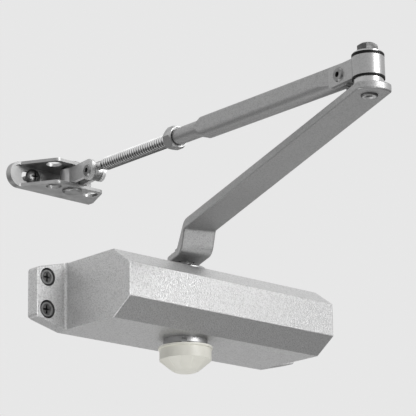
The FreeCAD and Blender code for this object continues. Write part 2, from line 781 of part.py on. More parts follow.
def arm_plan():
    """Plan outline: round foot, gentle taper and a crowned tip with rounded corners."""
    foot = ARM_FOOT_WIDTH / 2
    tip = ARM_TIP_WIDTH / 2
    side_end = -(ARM_LENGTH + ARM_TIP_SIDE)
    crown = side_end - ARM_TIP_CROWN
    edges = [
        arc(Vector(-foot, 0, 0), Vector(0, foot, 0), Vector(foot, 0, 0)),
        line(Vector(foot, 0, 0), Vector(tip, side_end, 0)),
        arc(Vector(tip, side_end, 0), Vector(0, crown, 0), Vector(-tip, side_end, 0)),
        line(Vector(-tip, side_end, 0), Vector(-foot, 0, 0)),
    ]
    plan = edges_prism(edges, Vector(0, 0, arm_top + ARM_ROOT_THICK))
    corners = [e for e in plan.Edges if abs(e.BoundBox.YMax - side_end) < NEAR and e.BoundBox.YLength < NEAR]
    return plan.makeFillet(ARM_TIP_CORNER_R, corners)


def main_arm():
    arm = arm_side().common(arm_plan()).removeSplitter()
    arm = arm.makeFillet(ARM_EDGE_R, arm_long_edges(arm))
    square = square_bar(SQUARE_AF + 2 * SEAT_CLEAR, foot_bottom - OVERCUT, foot_top + OVERCUT)
    hole = upright(ELBOW_BOLT_R + SEAT_CLEAR, arm_bottom - OVERCUT, arm_top + OVERCUT,
                   Vector(0, -ARM_LENGTH, 0))
    return placed(arm.cut(square).cut(hole), spindle_at, arm_turn)


def arm_long_edges(arm):
    """Edges between the plan outline and the bar's upper and lower faces."""
    found = []
    for edge in arm.Edges:
        box = edge.BoundBox
        if box.YLength > NEAR and (box.XMin > 0 or box.XMax < 0 or box.ZLength < NEAR):
            found.append(edge)
    return found


def arm_washer():
    return ring(ARM_WASHER_R, ARM_SCREW_R + SCREW_CLEAR, foot_top, foot_top + ARM_WASHER, spindle_at)


def arm_screw():
    """Round-headed screw down the spindle, clamping the arm on its square."""
    seat = foot_top + ARM_WASHER
    low = foot_top - ARM_SCREW_GRIP
    top = seat + ARM_SCREW_HEAD
    crown_r = ARM_SCREW_HEAD_R - ARM_SCREW_EDGE
    screw = turned([(0, low), (ARM_SCREW_R, low), (ARM_SCREW_R, seat), (ARM_SCREW_HEAD_R, seat),
                    (ARM_SCREW_HEAD_R, top - ARM_SCREW_EDGE), (crown_r, top), (0, top)])
    socket = hexagon(ARM_SCREW_SOCKET_AF, top - ARM_SCREW_SOCKET, top + OVERCUT)
    return placed(screw.cut(socket), spindle_at, Rotation())


def elbow_collar():
    return ring(COLLAR_R, ELBOW_BOLT_R + SEAT_CLEAR, arm_top, collar_top, elbow_at)


def elbow_washer():
    """Washer under the bolt's head, coned towards the head."""
    inner = ELBOW_BOLT_R + SCREW_CLEAR
    rim_top = elbow_washer_bottom + ELBOW_WASHER_RIM
    washer = turned([(inner, elbow_washer_bottom), (ELBOW_WASHER_R, elbow_washer_bottom),
                     (ELBOW_WASHER_R, rim_top), (ELBOW_WASHER_TOP_R, elbow_head_bottom),
                     (inner, elbow_head_bottom)])
    return placed(washer, elbow_at, Rotation())


def elbow_bolt():
    """Hexagon-headed pivot, riveted over under the arm."""
    head_top = elbow_head_bottom + ELBOW_HEX
    corner = hex_corner_r(ELBOW_HEX_AF)
    head = hexagon(ELBOW_HEX_AF, elbow_head_bottom, head_top)
    crown = turned([(0, elbow_head_bottom), (corner, elbow_head_bottom), (corner, head_top - ELBOW_CROWN),
                    (ELBOW_CROWN_R, head_top), (0, head_top)])
    end = arm_bottom - ELBOW_END
    shank = turned([(0, end + ELBOW_DIMPLE), (ELBOW_DIMPLE_R, end), (ELBOW_BOLT_R, end),
                    (ELBOW_END_R, arm_bottom - ELBOW_END / 2), (ELBOW_END_R, arm_bottom),
                    (ELBOW_BOLT_R, arm_bottom), (ELBOW_BOLT_R, elbow_head_bottom), (0, elbow_head_bottom)])
    return placed(head.common(crown).fuse(shank), elbow_at, Rotation(Vector(0, 0, 1), ELBOW_HEX_TURN))


def wear_washer(low, thickness):
    return ring(SOCKET_R, ELBOW_BOLT_R + RUN_CLEAR, low, low + thickness, elbow_at)


def elbow_socket():
    """Round socket with a fork whose ears carry the forearm rivet."""
    hub = upright(SOCKET_R, socket_bottom, socket_top)
    end = FORK_REACH + FORK_END
    half = fork_width / 2
    fork = block(Vector(-half, 0, socket_bottom), Vector(half, end, socket_top))
    tips = [edge for edge in fork.Edges if abs(edge.CenterOfMass.y - end) < NEAR and
            abs(edge.CenterOfMass.x) < NEAR]
    fork = fork.makeFillet(FORK_EDGE_R, tips)
    throat = FORK_REACH - TONGUE_END - 2 * TONGUE_SIDE
    low = socket_bottom - OVERCUT
    high = socket_top + OVERCUT
    gap = block(Vector(-fork_gap / 2, throat, low), Vector(fork_gap / 2, end + OVERCUT, high))
    socket = hub.fuse(fork.cut(gap)).removeSplitter()
    bush_seat = upright(ELBOW_BOLT_R + RUN_CLEAR + ELBOW_BUSH_WALL + SEAT_CLEAR, low, high)
    side = half + OVERCUT
    rivet_hole = cylinder(rivet_hole_r, Vector(-side, FORK_REACH, fork_z), Vector(side, FORK_REACH, fork_z))
    return placed(socket.cut(bush_seat).cut(rivet_hole), elbow_at, fore_turn)


def elbow_bush():
    inner = ELBOW_BOLT_R + RUN_CLEAR
    return ring(inner + ELBOW_BUSH_WALL, inner, socket_bottom, socket_top, elbow_at)


def hollow_rivet(grip):
    """Tubular rivet along X with a formed head on both faces."""
    half = grip / 2
    rivet = turned([(0, -half), (RIVET_R, -half), (RIVET_R, half), (0, half)])
    for sign in (-1, 1):
        head = turned([(0, half), (RIVET_HEAD_R, half), (RIVET_HEAD_R - RIVET_HEAD / 2, half + RIVET_HEAD),
                       (0, half + RIVET_HEAD)])
        hollow = upright(RIVET_HOLLOW_R, half + RIVET_HEAD - RIVET_HOLLOW, half + RIVET_HEAD)
        turn = Rotation() if sign > 0 else Rotation(Vector(1, 0, 0), 180)
        rivet = rivet.fuse(placed(head, Vector(0, 0, 0), turn)).cut(placed(hollow, Vector(0, 0, 0), turn))
    return placed(rivet, Vector(0, 0, 0), Rotation(Vector(0, 1, 0), 90))


def tube_section(start, end):
    """Tube pressed from below: round underneath, flat sides and a flat top."""
    half = TUBE_WIDTH / 2
    low = -TUBE_DROP
    edges = [
        arc(Vector(-half, start, low), Vector(0, start, low - half), Vector(half, start, low)),
        line(Vector(half, start, low), Vector(half, start, TUBE_TOP)),
        line(Vector(half, start, TUBE_TOP), Vector(-half, start, TUBE_TOP)),
        line(Vector(-half, start, TUBE_TOP), Vector(-half, start, low)),
    ]
    bar = edges_prism(edges, Vector(0, end - start, 0))
    rims = [edge for edge in bar.Edges if abs(edge.CenterOfMass.z - TUBE_TOP) < NEAR and
            abs(abs(edge.CenterOfMass.x) - half) < NEAR]
    return bar.makeFillet(TUBE_TOP_R, rims)


def along_arm(shape):
    """Turns a solid built on Z so that its axis lies on +Y."""
    return placed(shape, Vector(0, 0, 0), Rotation(Vector(1, 0, 0), -90))


def forearm_tube():
    """Pressed tube: pinched to a tongue at the fork, swaged to a neck at the nut."""
    start = -TONGUE_END
    shoulder_end = TUBE_SHOULDER + SHOULDER_LENGTH
    outer = TUBE_WIDTH
    corner_r = math.hypot(TUBE_WIDTH / 2, TUBE_TOP)
    envelope = along_arm(turned([(0, start), (outer, start), (outer, TUBE_SHOULDER - SHOULDER_LENGTH),
                                 (corner_r, TUBE_SHOULDER), (NECK_R, shoulder_end), (0, shoulder_end)]))
    tube = tube_section(start, shoulder_end).common(envelope)
    tube = tube.fuse(along_arm(upright(NECK_R, TUBE_SHOULDER, NECK_END)))
    wide = TUBE_WIDTH
    past = start - OVERCUT
    for side in (-1, 1):
        points = []
        for x, y in ((TONGUE_WIDTH / 2, past), (wide, past), (wide, TONGUE_FLAT + 2 * PINCH_RAMP),
                     (TUBE_WIDTH / 2, TONGUE_FLAT + PINCH_RAMP), (TONGUE_WIDTH / 2, TONGUE_FLAT)):
            points.append(Vector(side * x, y, -wide))
        tube = tube.cut(prism(points, Vector(0, 0, 2 * wide)))
    round_end = cylinder(TONGUE_END, Vector(-wide, 0, -AXIS_RISE), Vector(wide, 0, -AXIS_RISE))
    square_end = block(Vector(-wide, past, -2 * wide), Vector(wide, 0, 2 * wide))
    tube = tube.cut(square_end.cut(round_end))
    rivet_hole = cylinder(rivet_bearing_r, Vector(-wide, 0, -AXIS_RISE), Vector(wide, 0, -AXIS_RISE))
    bore_start = NECK_END - ROD_ENGAGED - ROD_BORE_SPARE
    bore = along_arm(upright(ROD_R + ROD_CLEAR, bore_start, NECK_END + OVERCUT))
    return placed(tube.cut(rivet_hole).cut(bore), axis_at, fore_tilt)


def lock_nut():
    """Hexagon nut with a recess that clears the end of the tube's neck."""
    low = NECK_END - LOCK_NUT_LAP
    high = low + LOCK_NUT
    flat_r = LOCK_NUT_AF / 2
    corner = hex_corner_r(LOCK_NUT_AF)
    blank = turned([(0, low), (flat_r, low), (corner, low + LOCK_NUT_EDGE), (corner, high - LOCK_NUT_EDGE),
                    (flat_r, high), (0, high)])
    nut = hexagon(LOCK_NUT_AF, low, high).common(blank)
    nut = nut.cut(upright(ROD_R + ROD_CLEAR, low - OVERCUT, high + OVERCUT))
    nut = nut.cut(upright(NECK_R + LOCK_NUT_SIDE, low - OVERCUT, NECK_END + LOCK_NUT_GAP))
    nut = placed(nut, Vector(0, 0, 0), Rotation(Vector(0, 0, 1), LOCK_NUT_TURN))
    return placed(along_arm(nut), axis_at, fore_tilt)


def adjusting_rod():
    """Threaded rod with a thin neck and a flat eye that is set below its axis."""
    start = NECK_END - ROD_ENGAGED
    shoulder = ROD_LENGTH - ROD_NECK
    thin = ROD_R - ROD_CHAMFER
    rod = along_arm(turned([(0, start), (thin, start), (ROD_R, start + ROD_CHAMFER),
                            (ROD_R, shoulder - ROD_CHAMFER), (thin, shoulder), (ROD_NECK_R, shoulder),
                            (ROD_NECK_R, ROD_LENGTH), (0, ROD_LENGTH)]))
    half = ROD_EYE_THICK / 2
    low = -ROD_EYE_DROP
    eye = cylinder(ROD_EYE_R, Vector(-half, ROD_LENGTH, low), Vector(half, ROD_LENGTH, low))
    hole = cylinder(rivet_bearing_r, Vector(-ROD_EYE_R, ROD_LENGTH, low), Vector(ROD_EYE_R, ROD_LENGTH, low))
    return placed(rod.fuse(eye).cut(hole), axis_at, fore_tilt)


def shoe_knuckle():
    """Strap folded round the shoe pin, with both ends riveted to the rod eye."""
    low = -STRAP_HEIGHT / 2
    high = STRAP_HEIGHT / 2
    lug_y = -KNUCKLE_REACH
    lug_z = -KNUCKLE_DROP
    half = strap_width / 2
    loop = upright(strap_r, low, high)
    strap = block(Vector(-half, lug_y, low), Vector(half, 0, high))
    lug = cylinder(KNUCKLE_LUG_R, Vector(-half, lug_y, lug_z), Vector(half, lug_y, lug_z))
    top_r = high - lug_z
    tip = cylinder(top_r, Vector(-half, lug_y, lug_z), Vector(half, lug_y, lug_z))
    tip = tip.common(block(Vector(-half, lug_y - KNUCKLE_LUG_R, lug_z), Vector(half, lug_y, high)))
    knuckle = loop.fuse(strap).fuse(lug).fuse(tip).removeSplitter()
    inside = eye_gap / 2
    reach = lug_y - top_r - OVERCUT
    slit = block(Vector(-inside, reach, low - top_r), Vector(inside, 0, high + top_r))
    knuckle = knuckle.cut(slit).cut(upright(SHOE_PIN_R + RUN_CLEAR, low - OVERCUT, high + OVERCUT))
    side = half + OVERCUT
    hole = cylinder(rivet_hole_r, Vector(-side, lug_y, lug_z), Vector(side, lug_y, lug_z))
    return placed(knuckle.cut(hole), shoe_pin_at, fore_turn)


def shoe_plan():
    """Plan outline of the shoe: low lip round the end, tall flanges with rounded corners."""
    half = SHOE_HEIGHT / 2
    points = []
    for along, out in ((-half, 0), (-half, SHOE_LIP), (0, SHOE_LIP), (SHOE_FRONT_LEFT, SHOE_DEPTH),
                       (SHOE_FRONT_RIGHT, SHOE_DEPTH), (SHOE_LENGTH, SHOE_LIP), (SHOE_LENGTH, 0)):
        points.append(Vector(along, -out, -half))
    plan = prism(points, Vector(0, 0, SHOE_HEIGHT))
    corners = [edge for edge in plan.Edges if abs(edge.BoundBox.YMax + SHOE_DEPTH) < NEAR and
               abs(edge.BoundBox.ZLength - SHOE_HEIGHT) < NEAR and edge.BoundBox.XLength < NEAR]
    return plan.makeFillet(SHOE_CORNER_R, corners)


def shoe_trough(radius, length, back):
    """Round-ended bar along X, from the given depth to the front of the flanges."""
    bar = block(Vector(0, -SHOE_DEPTH, -radius), Vector(length, back, radius))
    return bar.fuse(cylinder(radius, Vector(0, -SHOE_DEPTH, 0), Vector(0, back, 0))).removeSplitter()


def slot_through(along, length):
    """Round-ended slot along X through the base of the shoe."""
    radius = SHOE_SLOT_WIDTH / 2
    half = length / 2 - radius
    front = -SHOE_BASE - OVERCUT
    slot = block(Vector(along - half, front, -radius), Vector(along + half, OVERCUT, radius))
    for side in (-1, 1):
        end = along + side * half
        slot = slot.fuse(cylinder(radius, Vector(end, front, 0), Vector(end, OVERCUT, 0)))
    return slot


def shoe_bracket():
    """Deep-drawn shoe: round-ended pan whose walls rise to two flanges with pin holes."""
    half = SHOE_HEIGHT / 2
    shell = shoe_trough(half, SHOE_LENGTH, 0)
    shell = shell.cut(shoe_trough(half - SHOE_WALL, SHOE_LENGTH + OVERCUT, -SHOE_BASE))
    shoe = shell.common(shoe_plan())
    for step in (-1, 0, 1):
        spot = Vector(SHOE_PIN_ALONG + step * SHOE_HOLE_PITCH, -SHOE_PIN_OUT, 0)
        shoe = shoe.cut(upright(SHOE_PIN_R + SEAT_CLEAR, -half - OVERCUT, half + OVERCUT, spot))
    shoe = shoe.cut(slot_through(SHOE_SLOT_ALONG, SHOE_SLOT))
    shoe = shoe.cut(slot_through(SHOE_SCREW_ALONG + SHOE_SCREW_PITCH, SHOE_SLOT_WIDTH + OVERCUT))
    return placed(shoe, shoe_at, Rotation())


def shoe_pin():
    half = SHOE_HEIGHT / 2
    pin = upright(SHOE_PIN_R, -half, half)
    for sign in (-1, 1):
        head = turned([(0, half), (SHOE_PIN_HEAD_R, half), (SHOE_PIN_HEAD_R, half + SHOE_PIN_HEAD / 2),
                       (SHOE_PIN_R, half + SHOE_PIN_HEAD), (0, half + SHOE_PIN_HEAD)])
        turn = Rotation() if sign > 0 else Rotation(Vector(1, 0, 0), 180)
        pin = pin.fuse(placed(head, Vector(0, 0, 0), turn))
    return placed(pin, shoe_pin_at + Vector(0, 0, SHOE_RISE), Rotation())


def shoe_screws():
    """Pan-headed screws: plain neck inside the base, thread from the wall on."""
    top = -SHOE_BASE - SHOE_SCREW_HEAD
    end = SHOE_SCREW_GRIP - SCREW_CHAMFER
    screw = turned([(0, top), (SHOE_SCREW_CROWN_R, top), (SHOE_SCREW_HEAD_R, -SHOE_BASE - SHOE_SCREW_RIM),
                    (SHOE_SCREW_HEAD_R, -SHOE_BASE), (SHOE_SCREW_NECK_R, -SHOE_BASE), (SHOE_SCREW_NECK_R, 0),
                    (SHOE_SCREW_R, 0), (SHOE_SCREW_R, end), (SHOE_SCREW_R - SCREW_CHAMFER, SHOE_SCREW_GRIP),
                    (0, SHOE_SCREW_GRIP)])
    screws = []
    for step in (0, 1):
        spot = shoe_at + Vector(SHOE_SCREW_ALONG + step * SHOE_SCREW_PITCH, 0, 0)
        screws.append(placed(screw, spot, Rotation(Vector(1, 0, 0), -90)))
    return Part.makeCompound(screws)


os.makedirs("parts", exist_ok=True)
fork_rivet = placed(hollow_rivet(fork_width), fork_at, fore_turn)
rod_rivet = placed(hollow_rivet(strap_width), rod_eye_at, fore_turn)

save("body_casting", body_casting())
save("end_plug", end_plug())
save("end_plug_seal", end_plug_seal())
save("upper_gland", gland(1, GLAND_STAND_TOP))
save("lower_gland", gland(-1, GLAND_STAND_BOTTOM))
save("upper_bush", bearing_bush(1))
save("lower_bush", bearing_bush(-1))
save("upper_seal", spindle_seal(1))
save("lower_seal", spindle_seal(-1))
save("main_spring", main_spring())
save("door_screws", door_screws())
save("piston", piston())
save("check_valve_ball", check_valve_ball())
save("check_valve_retainer", check_valve_retainer())
save("closing_speed_valve", speed_valve(1))
save("closing_valve_seal", valve_seal(1))
save("latching_speed_valve", speed_valve(-1))
save("latching_valve_seal", valve_seal(-1))
save("pinion_shaft", pinion_shaft())
save("spindle_cap", spindle_cap())
save("main_arm", main_arm())
save("arm_washer", arm_washer())
save("arm_screw", arm_screw())
save("elbow_collar", elbow_collar())
save("elbow_bolt", elbow_bolt())
save("elbow_washer", elbow_washer())
save("elbow_socket", elbow_socket())
save("elbow_bush", elbow_bush())
save("elbow_lower_washer", wear_washer(collar_top, LOWER_WEAR_WASHER))
save("elbow_upper_washer", wear_washer(socket_top, UPPER_WEAR_WASHER))
save("fork_rivet", fork_rivet)
save("forearm_tube", forearm_tube())
save("lock_nut", lock_nut())
save("adjusting_rod", adjusting_rod())
save("shoe_knuckle", shoe_knuckle())
save("rod_rivet", rod_rivet)
save("shoe_bracket", shoe_bracket())
save("shoe_pin", shoe_pin())
save("shoe_screws", shoe_screws())
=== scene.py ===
import json
import math

import bmesh
import bpy
from mathutils import Matrix, Vector


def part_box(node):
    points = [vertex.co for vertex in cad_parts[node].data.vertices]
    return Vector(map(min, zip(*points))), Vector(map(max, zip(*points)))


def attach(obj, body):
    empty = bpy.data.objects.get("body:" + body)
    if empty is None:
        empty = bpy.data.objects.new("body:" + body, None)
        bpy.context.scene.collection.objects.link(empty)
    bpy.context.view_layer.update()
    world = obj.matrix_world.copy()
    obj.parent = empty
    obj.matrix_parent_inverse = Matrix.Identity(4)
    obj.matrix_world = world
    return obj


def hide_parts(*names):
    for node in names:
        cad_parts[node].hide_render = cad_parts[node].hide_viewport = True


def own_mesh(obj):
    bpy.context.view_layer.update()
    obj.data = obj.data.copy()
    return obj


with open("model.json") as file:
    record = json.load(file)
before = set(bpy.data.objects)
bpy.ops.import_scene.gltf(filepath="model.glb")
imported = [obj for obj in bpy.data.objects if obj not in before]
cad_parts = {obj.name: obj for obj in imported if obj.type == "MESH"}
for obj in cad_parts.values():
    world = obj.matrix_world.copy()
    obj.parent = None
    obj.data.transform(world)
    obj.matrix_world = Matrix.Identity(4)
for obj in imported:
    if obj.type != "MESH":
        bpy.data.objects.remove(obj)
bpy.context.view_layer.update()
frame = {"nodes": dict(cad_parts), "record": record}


# Closer body: an aluminium die casting with bevelled front edges and two screw ears.
# It is sprayed with a silver paint whose fine metal grains catch the light,
# so a face turned to the lamp looks sandy and the others look smooth.
BODY_SILVER = (0.65, 0.65, 0.65)
BODY_GRAIN = (0.50, 0.50, 0.50)
# Painted shade colour for the insides of the countersinks.
BODY_SINK_PAINTED_SHADE = (0.06, 0.06, 0.06)
BODY_SINK_R = 0.0056
BODY_EAR_FACE = -0.0079
FLAKE_DULLER = 0.10
FLAKE_GLOSSIER = 0.06
MM_PER_METRE = 1000


def start_finish(name):
    """New material, its node tree and its shader."""
    material = bpy.data.materials.new(name)
    material.use_nodes = True
    tree = material.node_tree
    return material, tree, tree.nodes["Principled BSDF"]


def noise(tree, per_metre, detail=3.0, stretch=(1.0, 1.0, 1.0)):
    """Soft noise on the piece's own coordinates."""
    place = tree.nodes.new("ShaderNodeTexCoord")
    mapping = tree.nodes.new("ShaderNodeMapping")
    mapping.inputs["Scale"].default_value = stretch
    texture = tree.nodes.new("ShaderNodeTexNoise")
    texture.inputs["Scale"].default_value = per_metre
    texture.inputs["Detail"].default_value = detail
    tree.links.new(place.outputs["Object"], mapping.inputs["Vector"])
    tree.links.new(mapping.outputs["Vector"], texture.inputs["Vector"])
    return texture.outputs["Fac"]


def cells(tree, per_metre):
    """Random value for each small cell, for paint flakes and pores."""
    place = tree.nodes.new("ShaderNodeTexCoord")
    texture = tree.nodes.new("ShaderNodeTexVoronoi")
    texture.inputs["Scale"].default_value = per_metre
    tree.links.new(place.outputs["Object"], texture.inputs["Vector"])
    split = tree.nodes.new("ShaderNodeSeparateColor")
    tree.links.new(texture.outputs["Color"], split.inputs["Color"])
    return split.outputs["Red"]


def tint(tree, value, low, high, low_at=0.3, high_at=0.7):
    """Blend between two colours along a value."""
    ramp = tree.nodes.new("ShaderNodeValToRGB")
    for stop, position, colour in zip(ramp.color_ramp.elements, (low_at, high_at), (low, high)):
        stop.position = position
        stop.color = (*colour, 1.0)
    tree.links.new(value, ramp.inputs["Fac"])
    return ramp.outputs["Color"]


def span(tree, value, low, high, low_at=0.3, high_at=0.7):
    """Map a value to a range of numbers."""
    node = tree.nodes.new("ShaderNodeMapRange")
    node.inputs["From Min"].default_value = low_at
    node.inputs["From Max"].default_value = high_at
    node.inputs["To Min"].default_value = low
    node.inputs["To Max"].default_value = high
    tree.links.new(value, node.inputs["Value"])
    return node.outputs["Result"]


def bumps(tree, value, height, strength=1.0):
    """Surface relief from a value; height is in metres."""
    node = tree.nodes.new("ShaderNodeBump")
    node.inputs["Distance"].default_value = height
    node.inputs["Strength"].default_value = strength
    tree.links.new(value, node.inputs["Height"])
    return node.outputs["Normal"]


def lay_on(tree, shader, colour, roughness, relief):
    """Lead colour, roughness and relief into a shader."""
    for label, value in (("Base Color", colour), ("Roughness", roughness), ("Normal", relief)):
        tree.links.new(value, shader.inputs[label])


def sparkle_paint(name, light, dark, *, roughness, metallic, flakes_per_metre,
                  sand_per_metre, sand_height):
    """Silver paint: random flakes in colour and gloss over a faint sandy relief."""
    material, tree, shader = start_finish(name)
    flakes = cells(tree, flakes_per_metre)
    sand = noise(tree, sand_per_metre, detail=2.0)
    shader.inputs["Metallic"].default_value = metallic
    lay_on(tree, shader, tint(tree, flakes, dark, light, low_at=0.0, high_at=0.5),
           span(tree, flakes, roughness + FLAKE_DULLER, roughness - FLAKE_GLOSSIER,
                low_at=0.1, high_at=0.95),
           bumps(tree, sand, sand_height))
    return material


def dress(material, *nodes):
    """Give CAD nodes their finish."""
    for node in nodes:
        finishes = frame["nodes"][node].data.materials
        finishes.clear()
        finishes.append(material)


def reckon(tree, operation, *values):
    """Math node on sockets or plain numbers; returns its result."""
    node = tree.nodes.new("ShaderNodeMath")
    node.operation = operation
    for socket, value in zip(node.inputs, values):
        if isinstance(value, (int, float)):
            socket.default_value = value
        else:
            tree.links.new(value, socket)
    return node.outputs["Value"]


def blend(tree, share, first, second):
    """Mix of two colours, each a socket or a plain colour."""
    node = tree.nodes.new("ShaderNodeMix")
    node.data_type = "RGBA"
    tree.links.new(share, node.inputs["Factor"])
    for label, value in (("A", first), ("B", second)):
        socket = [item for item in node.inputs if item.name == label and item.type == "RGBA"][0]
        if isinstance(value, tuple):
            socket.default_value = (*value, 1.0)
        else:
            tree.links.new(value, socket)
    return [item for item in node.outputs if item.type == "RGBA"][0]


def repaint(material, share, colour):
    """Lay a plain colour over a material's own, as far as the share says."""
    tree = material.node_tree
    socket = tree.nodes["Principled BSDF"].inputs["Base Color"]
    tree.links.new(blend(tree, share, socket.links[0].from_socket, colour), socket)


def mount(name):
    """Place and sizes of a mount, from the record."""
    found = [item for item in frame["record"]["mounts"] if item["name"] == name][0]
    return Vector(found["pos_m"]), found["dims"]


def own_place(tree):
    """The three coordinates of a point on the piece, in metres."""
    place = tree.nodes.new("ShaderNodeTexCoord")
    split = tree.nodes.new("ShaderNodeSeparateXYZ")
    tree.links.new(place.outputs["Object"], split.inputs["Vector"])
    return split.outputs


def away(tree, first, second):
    """Distance over two offsets at right angles."""
    squares = [reckon(tree, "MULTIPLY", offset, offset) for offset in (first, second)]
    return reckon(tree, "SQRT", reckon(tree, "ADD", *squares))


def from_screw_axis(tree):
    """Distance of a point from the nearest of the four screw axes in the ears."""
    place = own_place(tree)
    offsets = []
    for axis, label in (("X", "spacing_x_mm"), ("Z", "spacing_y_mm")):
        half = fixing_sizes[label] / MM_PER_METRE / 2
        offsets.append(reckon(tree, "SUBTRACT", reckon(tree, "ABSOLUTE", place[axis]), half))
    return away(tree, *offsets)


def paint_countersink_shade(material):
    """Painted shade: dark colour inside the four countersinks, where shade falls."""
    tree = material.node_tree
    near = reckon(tree, "LESS_THAN", from_screw_axis(tree), BODY_SINK_R)
    inside = reckon(tree, "GREATER_THAN", own_place(tree)["Y"], BODY_EAR_FACE)
    repaint(material, reckon(tree, "MULTIPLY", near, inside), BODY_SINK_PAINTED_SHADE)


fixing_sizes = mount("door_fixing")[1]
body_paint = sparkle_paint("body_sparkle_paint", BODY_SILVER, BODY_GRAIN, roughness=0.44,
                           metallic=0.93, flakes_per_metre=1700.0,
                           sand_per_metre=1300.0, sand_height=0.00028)
# Painted shade inside the countersinks of the ears.
paint_countersink_shade(body_paint)
dress(body_paint, "body_casting")


# End plug: a turned steel plug with a hexagon socket, screwed into the end of the cylinder.
# It is zinc plated, and faint turning rings show round its axis.
PLUG_ZINC = (0.46, 0.46, 0.46)
PLUG_ZINC_DULL = (0.34, 0.34, 0.34)
MARKS_ACROSS_X = (6.0, 1.0, 1.0)
MARKS_ACROSS_Z = (1.0, 1.0, 6.0)
MARKS_PER_METRE = 500.0
MARK_HEIGHT = 0.00002
MARK_STRENGTH = 0.6
PLATE_DULLER = 0.10
PLATE_GLOSSIER = 0.05


def plated_steel(name, light, dark, *, roughness, marks=MARKS_ACROSS_Z, clouds_per_metre=160.0):
    """Plated metal with cloudy gloss and fine marks that lie across one axis."""
    material, tree, shader = start_finish(name)
    clouds = noise(tree, clouds_per_metre, detail=4.0)
    scores = noise(tree, MARKS_PER_METRE, detail=2.0, stretch=marks)
    shader.inputs["Metallic"].default_value = 1.0
    lay_on(tree, shader, tint(tree, clouds, dark, light),
           span(tree, clouds, roughness + PLATE_DULLER, roughness - PLATE_GLOSSIER),
           bumps(tree, scores, MARK_HEIGHT, MARK_STRENGTH))
    return material


dress(plated_steel("plug_zinc", PLUG_ZINC, PLUG_ZINC_DULL, roughness=0.34, marks=MARKS_ACROSS_X),
      "end_plug")


# Rubber seals: the ring of the end plug, the spindle seals and the rings of the speed valves.
# Moulded black nitrile, matt, with a faint bloom, squeezed into their grooves.
SEAL_BLACK = (0.030, 0.030, 0.030)
SEAL_BLOOM = (0.045, 0.045, 0.045)
MOTTLES_PER_METRE = 220.0
SKIN_PER_METRE = 1400.0
MOULD_DULLER = 0.06
MOULD_GLOSSIER = 0.04


def moulded(name, light, dark, *, roughness, skin_height):
    """Moulded plastic or rubber with faint mottling and skin."""
    material, tree, shader = start_finish(name)
    mottle = noise(tree, MOTTLES_PER_METRE, detail=4.0)
    skin = noise(tree, SKIN_PER_METRE, detail=2.0)
    lay_on(tree, shader, tint(tree, mottle, dark, light),
           span(tree, mottle, roughness + MOULD_DULLER, roughness - MOULD_GLOSSIER),
           bumps(tree, skin, skin_height))
    return material


dress(moulded("seal_rubber", SEAL_BLOOM, SEAL_BLACK, roughness=0.7, skin_height=0.00002),
      "end_plug_seal", "upper_seal", "lower_seal", "closing_valve_seal", "latching_valve_seal")


# Spindle glands: two screwed steel rings with spanner notches, one on each side of the casting.
# Zinc plated and turned, they hold the bearing bushes and the spindle seals.
GLAND_ZINC = (0.48, 0.48, 0.48)
GLAND_ZINC_DULL = (0.38, 0.38, 0.38)
dress(plated_steel("gland_zinc", GLAND_ZINC, GLAND_ZINC_DULL, roughness=0.42),
      "upper_gland", "lower_gland")


# Bearing bushes: sintered bronze sleeves for the spindle and the elbow, pressed in.
# The metal is porous and soaked with oil, so it is dull with dark pores.
BUSH_BRONZE = (0.56, 0.41, 0.21)
BUSH_PORES = (0.33, 0.23, 0.11)
BUSH_ROUGHNESS = 0.4
PORE_ROUGHNESS = 0.6
PORES_PER_METRE = 3200.0
PORE_DEPTH = 0.00001


def sintered(name, metal, pores):
    """Porous bronze: small dark pores in a dull metal."""
    material, tree, shader = start_finish(name)
    grains = cells(tree, PORES_PER_METRE)
    shader.inputs["Metallic"].default_value = 1.0
    lay_on(tree, shader, tint(tree, grains, pores, metal, low_at=0.05, high_at=0.35),
           span(tree, grains, PORE_ROUGHNESS, BUSH_ROUGHNESS, low_at=0.0, high_at=1.0),
           bumps(tree, grains, PORE_DEPTH))
    return material


dress(sintered("bush_bronze", BUSH_BRONZE, BUSH_PORES), "upper_bush", "lower_bush", "elbow_bush")


# Closing spring: round oil-tempered wire wound to a compression spring, both ends ground flat.
# It lies between the piston and the end plug; in the closer it shortens as the piston nears the
# plug, but here it is wound at one fixed length.
WIRE_GREY = (0.20, 0.20, 0.20)
WIRE_BLUE = (0.13, 0.135, 0.15)
WIRE_R = 0.0020
WIRE_STEPS = 20
SPRING_TURNS = 6.0
SPRING_STEPS_PER_TURN = 40
SPRING_PLAY = 0.00005
SHARP_ANGLE = math.radians(35)


def tree_sockets(name, inputs):
    """New geometry tree with one geometry output and the named inputs."""
    tree = bpy.data.node_groups.new(name, "GeometryNodeTree")
    tree.interface.new_socket("Geometry", in_out="OUTPUT", socket_type="NodeSocketGeometry")
    for label, kind in inputs:
        tree.interface.new_socket(label, in_out="INPUT", socket_type="NodeSocket" + kind)
    source = tree.nodes.new("NodeGroupInput")
    result = tree.nodes.new("NodeGroupOutput")
    return tree, source.outputs, result.inputs["Geometry"]


def end_tree(tree, geometry, material, result):
    """Close a tree with realized instances and its material."""
    real = tree.nodes.new("GeometryNodeRealizeInstances")
    paint = tree.nodes.new("GeometryNodeSetMaterial")
    tree.links.new(geometry, real.inputs["Geometry"])
    tree.links.new(real.outputs["Geometry"], paint.inputs["Geometry"])
    tree.links.new(material, paint.inputs["Material"])
    tree.links.new(paint.outputs["Geometry"], result)


